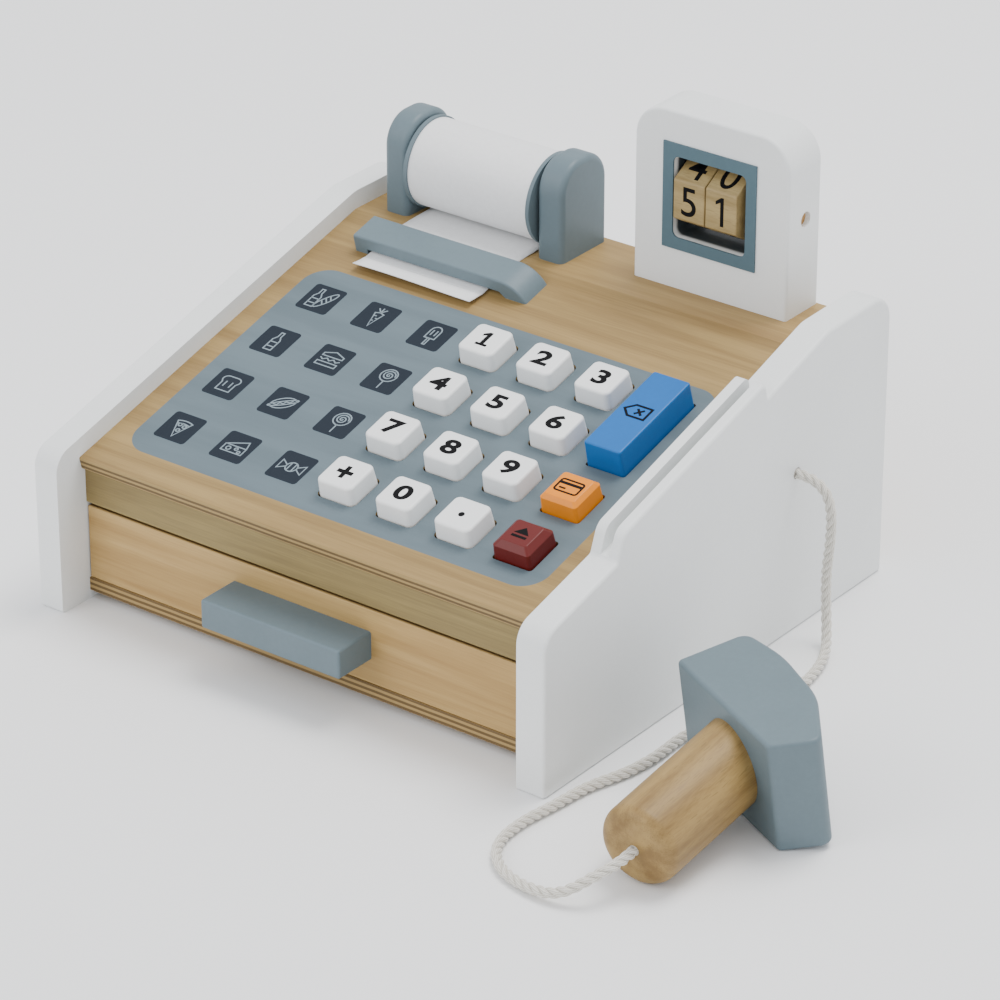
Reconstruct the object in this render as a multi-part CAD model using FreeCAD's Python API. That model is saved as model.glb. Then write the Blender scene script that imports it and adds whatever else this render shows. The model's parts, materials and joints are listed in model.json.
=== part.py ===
import FreeCAD, Part
import math
import os

# Toy cash register of wood and plywood, with a hand scanner on a cord.
# Millimetres, +Z up, the customer's side faces +Y and the drawer opens towards -Y.
# While the pieces are built, x = 0 is half-way between the side panels, y = 0 is the front edge
# of the side panels and z = 0 is the table. At the end everything moves so that the origin is at
# the centre of the bottom of the whole toy's box, its cord left out.

V = FreeCAD.Vector
X_AXIS = V(1, 0, 0)
Z_AXIS = V(0, 0, 1)

# ---- case ----
INNER_WIDTH = 240.0
CASE_DEPTH = 242.0
LEFT_PANEL_T = 13.0
RIGHT_PANEL_T = 14.0
BOARD_T = 6.0
FRONT_SETBACK = 17.6
BASE_BOTTOM = 3.7
BASE_TOP = 10.1
PANEL_EDGE_ROUND = 1.6
SOFT_EDGE = 0.6

# ---- sloping deck and level shelf ----
DECK_FRONT_Y = 14.2
DECK_FRONT_Z = 68.2
KINK_Y = 200.3
SHELF_TOP = 116.2
SLOPE = math.degrees(math.atan2(SHELF_TOP - DECK_FRONT_Z, KINK_Y - DECK_FRONT_Y))
PANEL_RISE = 8.6

# ---- right panel: raised stretch with the card slot ----
REAR_TOP = 132.2
STEP_Y = 48.5
SLOT_FRONT_TOP = 98.5
SLOT_REAR_Y = 150.0
SLOT_REAR_TOP = 125.5
SLOT_WIDTH = 4.4
SLOT_INNER_WALL = 4.7

# ---- drawer ----
DRAWER_GAP = 0.6
DRAWER_FRONT_T = 9.0
DRAWER_TOP = 44.6
RAIL_BOTTOM = 46.0
DRAWER_SIDE_T = 6.0
DRAWER_SIDE_CLEAR = 1.5
DRAWER_LENGTH = 186.4
DRAWER_WALL_TOP = 38.0
DRAWER_FLOOR_T = 3.0
DIVIDER_T = 4.0
DRAWER_TRAVEL = 160.0
HANDLE_LENGTH = 73.0
HANDLE_DEPTH = 21.0
HANDLE_HEIGHT = 13.2
HANDLE_CENTRE = V(-3.4, 0, 28.1)

# ---- keys ----
KEY_PITCH_X = 30.2
KEY_PITCH_S = 32.5
KEY_ROW_FRONT = 35.0
KEY_MIDDLE_X = -2.3
KEY_SHANK = 18.8
KEY_HOLE_CLEAR = 0.6
KEY_FLANGE = 24.0
KEY_FLANGE_T = 2.4
KEY_TRAVEL = 3.0
FLANGE_GAP = 0.3
SPRING_LENGTH = 6.6
SPRING_R = 4.2
SPRING_BORE_R = 3.0
KEY_BED_T = 5.0
# Kinds of key: height, corner radius, how much it narrows upwards, bevel and rounding of the top edge.
WHITE_KEY = {"high": 8.2, "corner": 3.0, "inset": 0.4, "bevel": 0.0, "edge": 1.3}
BLUE_KEY = {"high": 12.0, "corner": 1.2, "inset": 0.2, "bevel": 0.0, "edge": 0.8}
ORANGE_KEY = {"high": 8.6, "corner": 1.6, "inset": 0.3, "bevel": 1.8, "edge": 0.5}
RED_KEY = {"high": 9.0, "corner": 1.6, "inset": 0.3, "bevel": 2.6, "edge": 0.5}
KEY_LAYOUT = [
    [None, None, None, "1", "2", "3", None],
    [None, None, None, "4", "5", "6", None],
    [None, None, None, "7", "8", "9", "card"],
    [None, None, None, "plus", "0", "point", "open"],
]

# ---- receipt printer ----
ROLL_Y = 223.5
ROLL_Z = 138.0
PAPER_R = 20.0
FLANGE_R = 20.8
CORE_R = 9.0
ROLL_AXLE_R = 4.0
RUNNING_CLEAR = 0.08
PAPER_LEFT = -93.2
PAPER_RIGHT = -28.4
ROLL_FLANGE_T = 1.9
LEFT_SUPPORT = (-109.0, -96.2)
RIGHT_SUPPORT = (-25.4, -11.8)
SUPPORT_FRONT_Y = 207.0
SUPPORT_BACK_Y = 240.0
SUPPORT_TOP = 161.0
SUPPORT_ROUND = 14.0
SUPPORT_EDGE_ROUND = 2.9
BRIDGE_LEFT = -100.5
BRIDGE_RIGHT = -8.0
BRIDGE_FRONT_S = 167.5
BRIDGE_WIDTH = 16.0
BRIDGE_HEIGHT = 8.4
BRIDGE_GAP = 2.6
BRIDGE_END_R = 15.0
STRIP_T = 0.4
STRIP_INSET = 0.5

# ---- display ----
DISPLAY_LEFT = 18.3
DISPLAY_RIGHT = 97.0
DISPLAY_FRONT_Y = 218.0
DISPLAY_TOP = 197.2
DISPLAY_ROUND = 15.0
WINDOW_LEFT = 38.7
WINDOW_RIGHT = 75.9
WINDOW_BOTTOM = 140.1
WINDOW_TOP = 177.3
WINDOW_ROUND = 3.0
BEZEL_LEFT = 33.4
BEZEL_RIGHT = 80.9
BEZEL_BOTTOM = 134.6
BEZEL_TOP = 183.0
BEZEL_T = 0.8
WHEEL_Y = 231.0
WHEEL_Z = 158.7
WHEEL_SIDE = 17.8
WHEEL_WIDTH = 15.9
WHEEL_LEFT = 40.1
WHEEL_GAP = 0.5
WHEEL_AXLE_R = 3.5

# ---- hand scanner ----
HEAD_WIDTH = 49.6
HEAD_LENGTH = 75.5
HEAD_YAW = -27.2
HEAD_LEAN = 7.43
HEAD_EDGE_ROUND = 1.8
HANDLE_END_ROUND = 6.0
HEAD_CORNER = V(229.4, 23.9, 0)
HANDLE_R = 17.4
HANDLE_LENGTH_OUT = 67.4
HANDLE_ALONG = 43.1
HANDLE_SLANT = 27.5
SCANNER_LIFT = 120.0

# ---- cord ----
CORD_D = 4.6
CORD_HOLE = V(134.0, 174.2, 74.3)
CORD_STUB = 18.0


def rounded_profile(corners):
    """Closed wire through corners (point, radius), with a tangent arc at each corner that has a radius."""
    points = [c[0] for c in corners]
    count = len(points)
    starts, ends, arcs = [], [], []
    for i, (point, radius) in enumerate(corners):
        back = (points[i - 1] - point).normalize()
        ahead = (points[(i + 1) % count] - point).normalize()
        if radius <= 0:
            starts.append(point)
            ends.append(point)
            arcs.append(None)
            continue
        half = math.acos(max(-1.0, min(1.0, back.dot(ahead)))) / 2
        reach = radius / math.tan(half)
        middle = (back + ahead).normalize()
        centre = point + middle * (radius / math.sin(half))
        starts.append(point + back * reach)
        ends.append(point + ahead * reach)
        arcs.append(centre - middle * radius)
    edges = []
    for i in range(count):
        if arcs[i] is not None:
            edges.append(Part.Arc(starts[i], arcs[i], ends[i]).toShape())
        following = starts[(i + 1) % count]
        if (following - ends[i]).Length > 1e-6:
            edges.append(Part.LineSegment(ends[i], following).toShape())
    return Part.Wire(edges)


def slab_x(corners, x_from, x_to):
    """Solid with the outline (y, z, radius), from one x to the other."""
    wire = rounded_profile([(V(x_from, y, z), r) for y, z, r in corners])
    return Part.Face(wire).extrude(V(x_to - x_from, 0, 0))


def slab_y(corners, y_from, y_to):
    """Solid with the outline (x, z, radius), from one y to the other."""
    wire = rounded_profile([(V(x, y_from, z), r) for x, z, r in corners])
    return Part.Face(wire).extrude(V(0, y_to - y_from, 0))


def box(low, high):
    size = V(*high) - V(*low)
    return Part.makeBox(size.x, size.y, size.z, V(*low))


def rod(radius, start, end):
    along = end - start
    return Part.makeCylinder(radius, along.Length, start, along)


def on_deck(shape):
    """From deck coordinates (x, up the slope, out of the deck) to the toy's."""
    turn = FreeCAD.Rotation(X_AXIS, SLOPE)
    return shape.transformed(FreeCAD.Placement(V(0, DECK_FRONT_Y, DECK_FRONT_Z), turn).toMatrix())


def deck_z(y):
    return DECK_FRONT_Z + (y - DECK_FRONT_Y) * math.tan(math.radians(SLOPE))


def round_edges(shape, radius, wanted):
    """Rounds the edges that the test picks."""
    picked = [e for e in shape.Edges if wanted(e)]
    return shape.makeFillet(radius, picked)


def lies_on_x(edge, x):
    box_ = edge.BoundBox
    return abs(box_.XMin - x) < 1e-3 and abs(box_.XMax - x) < 1e-3


def lies_on_y(edge, y):
    box_ = edge.BoundBox
    return abs(box_.YMin - y) < 1e-3 and abs(box_.YMax - y) < 1e-3


def lies_on_z(edge, z):
    box_ = edge.BoundBox
    return abs(box_.ZMin - z) < 1e-3 and abs(box_.ZMax - z) < 1e-3


half_inner = INNER_WIDTH / 2
left_outer = -half_inner - LEFT_PANEL_T
right_outer = half_inner + RIGHT_PANEL_T
slope_cos = math.cos(math.radians(SLOPE))
slope_sin = math.sin(math.radians(SLOPE))


# ---------------------------------------------------------------- case

def make_left_side_panel():
    rise = PANEL_RISE
    outline = [
        (0, 0, 1.5),
        (0, deck_z(0) + rise, 10),
        (KINK_Y, SHELF_TOP + rise, 22),
        (CASE_DEPTH, SHELF_TOP + rise, 12),
        (CASE_DEPTH, 0, 1.5),
    ]
    panel = slab_x(outline, left_outer, -half_inner)
    return round_edges(panel, PANEL_EDGE_ROUND, lambda e: lies_on_x(e, left_outer))


def make_right_side_panel():
    step_z = deck_z(STEP_Y) + PANEL_RISE
    outline = [
        (0, 0, 1.5),
        (0, deck_z(0) + PANEL_RISE, 10),
        (STEP_Y, step_z, 2),
        (STEP_Y + 4.5, SLOT_FRONT_TOP - 1.2, 7),
        (SLOT_REAR_Y, SLOT_REAR_TOP, 3),
        (SLOT_REAR_Y + 1.5, 117.6, 1),
        (KINK_Y - 5, REAR_TOP - 0.8, 18),
        (CASE_DEPTH, REAR_TOP, 12),
        (CASE_DEPTH, 0, 1.5),
    ]
    panel = slab_x(outline, half_inner, right_outer)
    panel = round_edges(panel, PANEL_EDGE_ROUND, lambda e: lies_on_x(e, right_outer))
    slot_left = half_inner + SLOT_INNER_WALL
    slot = slab_x(
        [
            (STEP_Y - 12, step_z - 2.4, 0),
            (SLOT_REAR_Y + 2, deck_z(SLOT_REAR_Y + 2) + PANEL_RISE + 0.7, 0),
            (SLOT_REAR_Y + 2, SLOT_REAR_TOP + 20, 0),
            (STEP_Y - 12, SLOT_REAR_TOP + 20, 0),
        ],
        slot_left,
        slot_left + SLOT_WIDTH,
    )
    hole = rod(CORD_D / 2 + 0.25, V(half_inner - 5, CORD_HOLE.y, CORD_HOLE.z), CORD_HOLE + V(5, 0, 0))
    return panel.cut(slot).cut(hole)


def make_base_board():
    board = box((-half_inner, FRONT_SETBACK, BASE_BOTTOM), (half_inner, CASE_DEPTH - BOARD_T, BASE_TOP))
    return round_edges(board, SOFT_EDGE, lambda e: lies_on_y(e, FRONT_SETBACK) and e.BoundBox.XLength > 1)


def make_back_panel():
    top = SHELF_TOP - BOARD_T
    return box((-half_inner, CASE_DEPTH - BOARD_T, BASE_BOTTOM), (half_inner, CASE_DEPTH, top))


def make_front_rail():
    rail_back = FRONT_SETBACK + DRAWER_FRONT_T
    under = BOARD_T / slope_cos
    corners = [
        (FRONT_SETBACK, RAIL_BOTTOM, 0),
        (FRONT_SETBACK, deck_z(FRONT_SETBACK) - under, 0),
        (rail_back, deck_z(rail_back) - under, 0),
        (rail_back, RAIL_BOTTOM, 0),
    ]
    rail = slab_x(corners, -half_inner, half_inner)
    low_front = lambda e: lies_on_y(e, FRONT_SETBACK) and e.BoundBox.ZMax < RAIL_BOTTOM + 1
    return round_edges(rail, SOFT_EDGE, low_front)


def kink_mitre_y():
    """Where the undersides of the deck and of the shelf meet."""
    under = BOARD_T / slope_cos
    return DECK_FRONT_Y + (SHELF_TOP - BOARD_T - DECK_FRONT_Z + under) / math.tan(math.radians(SLOPE))


def make_top_shelf():
    corners = [
        (KINK_Y, SHELF_TOP, 0),
        (CASE_DEPTH, SHELF_TOP, 0),
        (CASE_DEPTH, SHELF_TOP - BOARD_T, 0),
        (kink_mitre_y(), SHELF_TOP - BOARD_T, 0),
    ]
    return slab_x(corners, -half_inner, half_inner)


def make_key_deck(keys):
    front_low = (DECK_FRONT_Y + BOARD_T * slope_sin, DECK_FRONT_Z - BOARD_T * slope_cos, 0.8)
    corners = [
        (DECK_FRONT_Y, DECK_FRONT_Z, 0.8),
        (KINK_Y, SHELF_TOP, 0),
        (kink_mitre_y(), SHELF_TOP - BOARD_T, 0),
        front_low,
    ]
    deck = slab_x(corners, -half_inner, half_inner)
    for spec in keys:
        deck = deck.cut(key_hole(spec))
    return deck


def make_drawer_stop():
    """Block behind the front rail that the tall drawer back meets when the drawer is fully out."""
    d = drawer_places()
    stop_back = d["back"] - DRAWER_SIDE_T - DRAWER_TRAVEL - 0.4
    glued = box((-45, d["front"], RAIL_BOTTOM), (45, stop_back, RAIL_BOTTOM + 5))
    lip = box((-45, d["front"] + 0.7, RAIL_BOTTOM - 5), (45, stop_back, RAIL_BOTTOM))
    return glued.fuse(lip).removeSplitter()


def make_case_dowels():
    """Short wooden pins that hold the side panels to the base, the back and the rail."""
    reach = 7.0
    spots = [(60, (BASE_BOTTOM + BASE_TOP) / 2, 1.8), (200, (BASE_BOTTOM + BASE_TOP) / 2, 1.8)]
    spots += [(CASE_DEPTH - BOARD_T / 2, 40, 1.8), (CASE_DEPTH - BOARD_T / 2, 85, 1.8)]
    spots += [(FRONT_SETBACK + DRAWER_FRONT_T / 2, 54, 2.5)]
    pins = []
    for y, z, r in spots:
        for side in (-1, 1):
            inner_x, outer_x = side * (half_inner - reach * 2), side * (half_inner + reach)
            pins.append(rod(r, V(inner_x, y, z), V(outer_x, y, z)))
    return Part.makeCompound(pins)


# ---------------------------------------------------------------- keys

def key_specs():
    """Name, place on the deck, length up the slope and kind of every key."""
    specs = []
    rows = len(KEY_LAYOUT)
    kinds = {"card": ORANGE_KEY, "open": RED_KEY}
    for r, row in enumerate(KEY_LAYOUT):
        s = KEY_ROW_FRONT + (rows - 1 - r) * KEY_PITCH_S
        for c, label in enumerate(row):
            if label:
                place = {"name": "key_" + label, "x": KEY_MIDDLE_X + (c - 3) * KEY_PITCH_X, "s": s}
                specs.append({**place, "long": KEY_SHANK, **kinds.get(label, WHITE_KEY)})
    x = KEY_MIDDLE_X + 3 * KEY_PITCH_X
    s = KEY_ROW_FRONT + 2.5 * KEY_PITCH_S
    specs.append({"name": "key_clear", "x": x, "s": s, "long": KEY_SHANK + KEY_PITCH_S, **BLUE_KEY})
    return specs


def key_ring(spec, z, grow=0.0, corner=None):
    """Rounded outline of the key at a height above the deck, larger by the given growth all round."""
    half_x = KEY_SHANK / 2 + grow
    half_s = spec["long"] / 2 + grow
    x, s = spec["x"], spec["s"]
    radius = spec["corner"] if corner is None else corner
    corners = [(-half_x, -half_s), (half_x, -half_s), (half_x, half_s), (-half_x, half_s)]
    return rounded_profile([(V(x + a, s + b, z), radius) for a, b in corners])


def key_block(spec, low, high, grow=0.0, corner=None):
    """Upright block on the key's place, between two heights above the deck."""
    return Part.Face(key_ring(spec, low, grow, corner)).extrude(V(0, 0, high - low))


def key_hole(spec):
    return on_deck(key_block(spec, -BOARD_T - 5, 5, KEY_HOLE_CLEAR))


def key_cap(spec):
    """The part of a key that stands above the deck: it narrows a little upwards and has soft edges."""
    top, inset, bevel = spec["high"], spec["inset"], spec["bevel"]
    rings = [key_ring(spec, 0.0), key_ring(spec, top - bevel, -inset)]
    if bevel:
        rings.append(key_ring(spec, top, -inset - bevel, spec["corner"] * 0.8))
    cap = Part.makeLoft(rings, True, True)
    return round_edges(cap, spec["edge"], lambda e: e.BoundBox.ZMin > top - 1e-3)


def make_key(spec):
    shank_low = -BOARD_T - FLANGE_GAP
    flange_grow = (KEY_FLANGE - KEY_SHANK) / 2
    shank = key_block(spec, shank_low, 0)
    flange = key_block(spec, shank_low - KEY_FLANGE_T, shank_low, flange_grow, 1.5)
    return on_deck(key_cap(spec).fuse([shank, flange]).removeSplitter())


def key_bed_top():
    return -BOARD_T - FLANGE_GAP - KEY_FLANGE_T - SPRING_LENGTH


def make_key_bed():
    top = key_bed_top()
    bed = box((-half_inner, 16, top - KEY_BED_T), (half_inner, 152, top))
    return on_deck(bed)


def spring_spots(keys):
    spots = []
    for spec in keys:
        steps = (-12, 12) if spec["long"] > KEY_SHANK + 1 else (0,)
        spots += [(spec["x"], spec["s"] + step) for step in steps]
    return spots


def make_key_springs(keys):
    top = key_bed_top()
    coils = []
    for x, s in spring_spots(keys):
        outer = Part.makeCylinder(SPRING_R, SPRING_LENGTH - 0.1, V(x, s, top))
        inner = Part.makeCylinder(SPRING_BORE_R, SPRING_LENGTH - 0.1, V(x, s, top))
        coils.append(outer.cut(inner))
    return on_deck(Part.makeCompound(coils))


def make_key_bed_battens():
    """Two strips under the ends of the key bed, glued to the side panels."""
    top = key_bed_top() - KEY_BED_T
    strips = []
    for side in (-1, 1):
        low_x = min(side * half_inner, side * (half_inner - 10))
        strips.append(box((low_x, 24, top - 8), (low_x + 10, 145, top)))
    return on_deck(Part.makeCompound(strips))


# ---------------------------------------------------------------- drawer

def drawer_places():
    outer = half_inner - DRAWER_SIDE_CLEAR
    return {
        "outer": outer,
        "inner": outer - DRAWER_SIDE_T,
        "front": FRONT_SETBACK + DRAWER_FRONT_T,
        "back": FRONT_SETBACK + DRAWER_FRONT_T + DRAWER_LENGTH,
        "low": BASE_TOP + 0.4,
        "floor": BASE_TOP + 0.4 + DRAWER_FLOOR_T,
    }


def make_drawer_front():
    edge = half_inner - DRAWER_GAP
    front = box((-edge, FRONT_SETBACK, BASE_TOP + 0.4), (edge, FRONT_SETBACK + DRAWER_FRONT_T, DRAWER_TOP))
    return round_edges(front, SOFT_EDGE, lambda e: lies_on_y(e, FRONT_SETBACK) or lies_on_z(e, DRAWER_TOP))


def make_drawer_side(side):
    d = drawer_places()
    low_x = min(side * d["inner"], side * d["outer"])
    wall = box((low_x, d["front"], d["low"]), (low_x + DRAWER_SIDE_T, d["back"], DRAWER_WALL_TOP))
    return round_edges(wall, SOFT_EDGE, lambda e: lies_on_z(e, DRAWER_WALL_TOP) and e.BoundBox.YLength > 20)


def make_drawer_back():
    d = drawer_places()
    wall = box((-d["inner"], d["back"] - DRAWER_SIDE_T, d["floor"]), (d["inner"], d["back"], DRAWER_TOP - 1))
    return round_edges(wall, SOFT_EDGE, lambda e: lies_on_z(e, DRAWER_TOP - 1) and e.BoundBox.XLength > 20)


def make_drawer_bottom():
    d = drawer_places()
    return box((-d["inner"], d["front"], d["low"]), (d["inner"], d["back"], d["floor"]))


def make_divider(side):
    d = drawer_places()
    x = side * d["inner"] / 3
    low = (x - DIVIDER_T / 2, d["front"], d["floor"])
    wall = box(low, (x + DIVIDER_T / 2, d["back"] - DRAWER_SIDE_T, DRAWER_WALL_TOP - 4))
    top = DRAWER_WALL_TOP - 4
    return round_edges(wall, SOFT_EDGE, lambda e: lies_on_z(e, top) and e.BoundBox.YLength > 20)


def make_drawer_handle(screws):
    c = HANDLE_CENTRE
    low = (c.x - HANDLE_LENGTH / 2, FRONT_SETBACK - HANDLE_DEPTH, c.z - HANDLE_HEIGHT / 2)
    high = (c.x + HANDLE_LENGTH / 2, FRONT_SETBACK, c.z + HANDLE_HEIGHT / 2)
    bar = box(low, high)
    bar = round_edges(bar, 1.2, lambda e: not lies_on_y(e, FRONT_SETBACK))
    return bar.cut(screws)


def make_handle_screws():
    """Countersunk wood screws, driven into the handle from inside the drawer."""
    back = FRONT_SETBACK + DRAWER_FRONT_T
    screws = []
    for side in (-1, 1):
        x = HANDLE_CENTRE.x + side * 22
        shank = rod(1.75, V(x, back, HANDLE_CENTRE.z), V(x, FRONT_SETBACK - 12, HANDLE_CENTRE.z))
        head = Part.makeCone(3.4, 1.75, 2.2, V(x, back, HANDLE_CENTRE.z), V(0, -1, 0))
        screws.append(shank.fuse(head).removeSplitter())
    return Part.makeCompound(screws)


# ---------------------------------------------------------------- receipt printer

def make_roll_support(x_from, x_to, axle, dowels):
    outline = [
        (SUPPORT_FRONT_Y, SHELF_TOP, 0),
        (SUPPORT_FRONT_Y, SUPPORT_TOP, SUPPORT_ROUND),
        (SUPPORT_BACK_Y, SUPPORT_TOP, SUPPORT_ROUND),
        (SUPPORT_BACK_Y, SHELF_TOP, 0),
    ]
    body = slab_x(outline, x_from, x_to)
    body = round_edges(
        body,
        SUPPORT_EDGE_ROUND,
        lambda e: (lies_on_x(e, x_from) or lies_on_x(e, x_to)) and e.BoundBox.ZMax > SHELF_TOP + 1,
    )
    return body.cut(axle).cut(dowels)


def make_roll_axle():
    start = LEFT_SUPPORT[1] - 9
    end = RIGHT_SUPPORT[0] + 9
    return rod(ROLL_AXLE_R, V(start, ROLL_Y, ROLL_Z), V(end, ROLL_Y, ROLL_Z))


def make_support_dowels():
    pins = []
    for x_from, x_to in (LEFT_SUPPORT, RIGHT_SUPPORT):
        for y in (SUPPORT_FRONT_Y + 7.5, SUPPORT_BACK_Y - 7.5):
            x = (x_from + x_to) / 2
            pins.append(rod(2.5, V(x, y, SHELF_TOP - BOARD_T), V(x, y, SHELF_TOP + 9)))
    return Part.makeCompound(pins)


def make_roll_core():
    left, right = PAPER_LEFT, PAPER_RIGHT
    at = lambda x: V(x, ROLL_Y, ROLL_Z)
    tube = rod(CORE_R, at(left), at(right))
    flange_left = rod(FLANGE_R, at(left - ROLL_FLANGE_T), at(left))
    flange_right = rod(FLANGE_R, at(right), at(right + ROLL_FLANGE_T))
    bore = rod(ROLL_AXLE_R + RUNNING_CLEAR, at(left - 5), at(right + 5))
    return tube.fuse([flange_left, flange_right]).cut(bore).removeSplitter()


def make_paper_roll():
    outer = rod(PAPER_R, V(PAPER_LEFT, ROLL_Y, ROLL_Z), V(PAPER_RIGHT, ROLL_Y, ROLL_Z))
    inner = rod(CORE_R, V(PAPER_LEFT, ROLL_Y, ROLL_Z), V(PAPER_RIGHT, ROLL_Y, ROLL_Z))
    return outer.cut(inner)


def make_receipt_bridge():
    """Bar across the deck: square at its left end, curved down to the deck at its right end."""
    s0, s1 = BRIDGE_FRONT_S, BRIDGE_FRONT_S + BRIDGE_WIDTH
    r, h = BRIDGE_END_R, BRIDGE_HEIGHT
    run = math.sqrt(r * r - (r - h) ** 2)
    arc_start = V(BRIDGE_RIGHT - run, s0, h)
    turn = math.acos((r - h) / r) / 2
    arc_middle = V(arc_start.x + r * math.sin(turn), s0, h - r + r * math.cos(turn))
    arc_end = V(BRIDGE_RIGHT, s0, 0)
    left_foot, right_foot = 6.5, 11.0
    right_toe = V(BRIDGE_RIGHT - right_foot, s0, 0)
    right_top = V(right_toe.x - 3, s0, BRIDGE_GAP)
    left_top = V(BRIDGE_LEFT + left_foot, s0, BRIDGE_GAP)
    path = [
        Part.LineSegment(V(BRIDGE_LEFT, s0, 0), V(BRIDGE_LEFT, s0, h)).toShape(),
        Part.LineSegment(V(BRIDGE_LEFT, s0, h), arc_start).toShape(),
        Part.Arc(arc_start, arc_middle, arc_end).toShape(),
        Part.LineSegment(arc_end, right_toe).toShape(),
        Part.LineSegment(right_toe, right_top).toShape(),
        Part.LineSegment(right_top, left_top).toShape(),
        Part.LineSegment(left_top, V(BRIDGE_LEFT + left_foot, s0, 0)).toShape(),
        Part.LineSegment(V(BRIDGE_LEFT + left_foot, s0, 0), V(BRIDGE_LEFT, s0, 0)).toShape(),
    ]
    bar = Part.Face(Part.Wire(path)).extrude(V(0, s1 - s0, 0))
    long_top = lambda e: e.BoundBox.ZMin > h - 1e-3 and e.BoundBox.XLength > 20
    bar = round_edges(bar, 1.0, long_top)
    return on_deck(bar)


def deck_point(s, h):
    """Point of the middle plane, s up the slope from the deck's front edge and h above the deck."""
    return V(0, DECK_FRONT_Y + s * slope_cos - h * slope_sin, DECK_FRONT_Z + s * slope_sin + h * slope_cos)


def make_receipt_strip():
    """Paper that leaves the underside of the roll, runs under the bridge and out over the deck."""
    points = [
        V(0, ROLL_Y - 1, SHELF_TOP + 1.05),
        V(0, KINK_Y + 5, SHELF_TOP + 0.75),
        V(0, KINK_Y, SHELF_TOP + 0.45),
        deck_point(BRIDGE_FRONT_S + BRIDGE_WIDTH + 3, 0.8),
        deck_point(BRIDGE_FRONT_S - 1, 0.8),
        deck_point(BRIDGE_FRONT_S - 6, 1.4),
        deck_point(BRIDGE_FRONT_S - 11.5, 2.8),
    ]
    upper, lower = [], []
    for i, p in enumerate(points):
        before = points[max(i - 1, 0)]
        after = points[min(i + 1, len(points) - 1)]
        run = (after - before).normalize()
        lower.append(p + V(PAPER_LEFT + STRIP_INSET, 0, 0))
        upper.append(p + V(PAPER_LEFT + STRIP_INSET, 0, 0) + V(0, run.z, -run.y) * STRIP_T)
    lower.reverse()
    outline = Part.makePolygon(upper + lower + upper[:1])
    return Part.Face(outline).extrude(V(PAPER_RIGHT - PAPER_LEFT - 2 * STRIP_INSET, 0, 0))


# ---------------------------------------------------------------- display

def make_display_block(axle, dowels):
    outline = [
        (DISPLAY_LEFT, SHELF_TOP, 0),
        (DISPLAY_LEFT, DISPLAY_TOP, DISPLAY_ROUND),
        (DISPLAY_RIGHT, DISPLAY_TOP, DISPLAY_ROUND),
        (DISPLAY_RIGHT, SHELF_TOP, 0),
    ]
    block = slab_y(outline, DISPLAY_FRONT_Y, CASE_DEPTH)
    is_rim = lambda e: lies_on_y(e, DISPLAY_FRONT_Y) or lies_on_y(e, CASE_DEPTH)
    block = round_edges(block, 1.4, lambda e: is_rim(e) and e.BoundBox.ZMax > SHELF_TOP + 1)
    hole = rod(WHEEL_AXLE_R, wheel_centre(DISPLAY_LEFT - 5), wheel_centre(DISPLAY_RIGHT + 5))
    return block.cut(window_block()).cut(hole).cut(dowels)


def window_block():
    outline = [
        (WINDOW_LEFT, WINDOW_BOTTOM, WINDOW_ROUND),
        (WINDOW_LEFT, WINDOW_TOP, WINDOW_ROUND),
        (WINDOW_RIGHT, WINDOW_TOP, WINDOW_ROUND),
        (WINDOW_RIGHT, WINDOW_BOTTOM, WINDOW_ROUND),
    ]
    return slab_y(outline, DISPLAY_FRONT_Y - 10, CASE_DEPTH + 10)


def make_display_bezel():
    front = DISPLAY_FRONT_Y - BEZEL_T
    plate = box((BEZEL_LEFT, front, BEZEL_BOTTOM), (BEZEL_RIGHT, DISPLAY_FRONT_Y, BEZEL_TOP))
    return plate.cut(window_block())


def make_display_axle():
    return rod(WHEEL_AXLE_R, wheel_centre(DISPLAY_LEFT + 2.5), wheel_centre(DISPLAY_RIGHT - 2.5))


def wheel_centre(x):
    return V(x, WHEEL_Y, WHEEL_Z)


def make_number_wheel(x_from):
    """Six-sided wooden wheel with one flat face to the front."""
    x_to = x_from + WHEEL_WIDTH
    corners = []
    for i in range(6):
        angle = math.radians(60 * i)
        y = WHEEL_Y + WHEEL_SIDE * math.sin(angle)
        z = WHEEL_Z + WHEEL_SIDE * math.cos(angle)
        corners.append((y, z, 1.2))
    wheel = slab_x(corners, x_from, x_to)
    wheel = round_edges(wheel, SOFT_EDGE, lambda e: lies_on_x(e, x_from) or lies_on_x(e, x_to))
    return wheel.cut(rod(WHEEL_AXLE_R + RUNNING_CLEAR, wheel_centre(x_from - 5), wheel_centre(x_to + 5)))


def make_wheel_washers():
    """Wooden rings that keep the wheels to the left of the window."""
    units_right = WHEEL_LEFT + 2 * WHEEL_WIDTH + WHEEL_GAP
    rings = []
    for start, end in ((WINDOW_LEFT, WHEEL_LEFT - 0.4), (units_right + 0.4, WINDOW_RIGHT)):
        outer = rod(6.0, wheel_centre(start), wheel_centre(end))
        inner = rod(WHEEL_AXLE_R, wheel_centre(start), wheel_centre(end))
        rings.append(outer.cut(inner))
    return Part.makeCompound(rings)


def make_display_dowels():
    y = (DISPLAY_FRONT_Y + CASE_DEPTH - BOARD_T) / 2
    pins = []
    for x in (DISPLAY_LEFT + 12, DISPLAY_RIGHT - 12):
        pins.append(rod(3.0, V(x, y, SHELF_TOP - BOARD_T), V(x, y, SHELF_TOP + 14)))
    return Part.makeCompound(pins)


# ---------------------------------------------------------------- hand scanner

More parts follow.
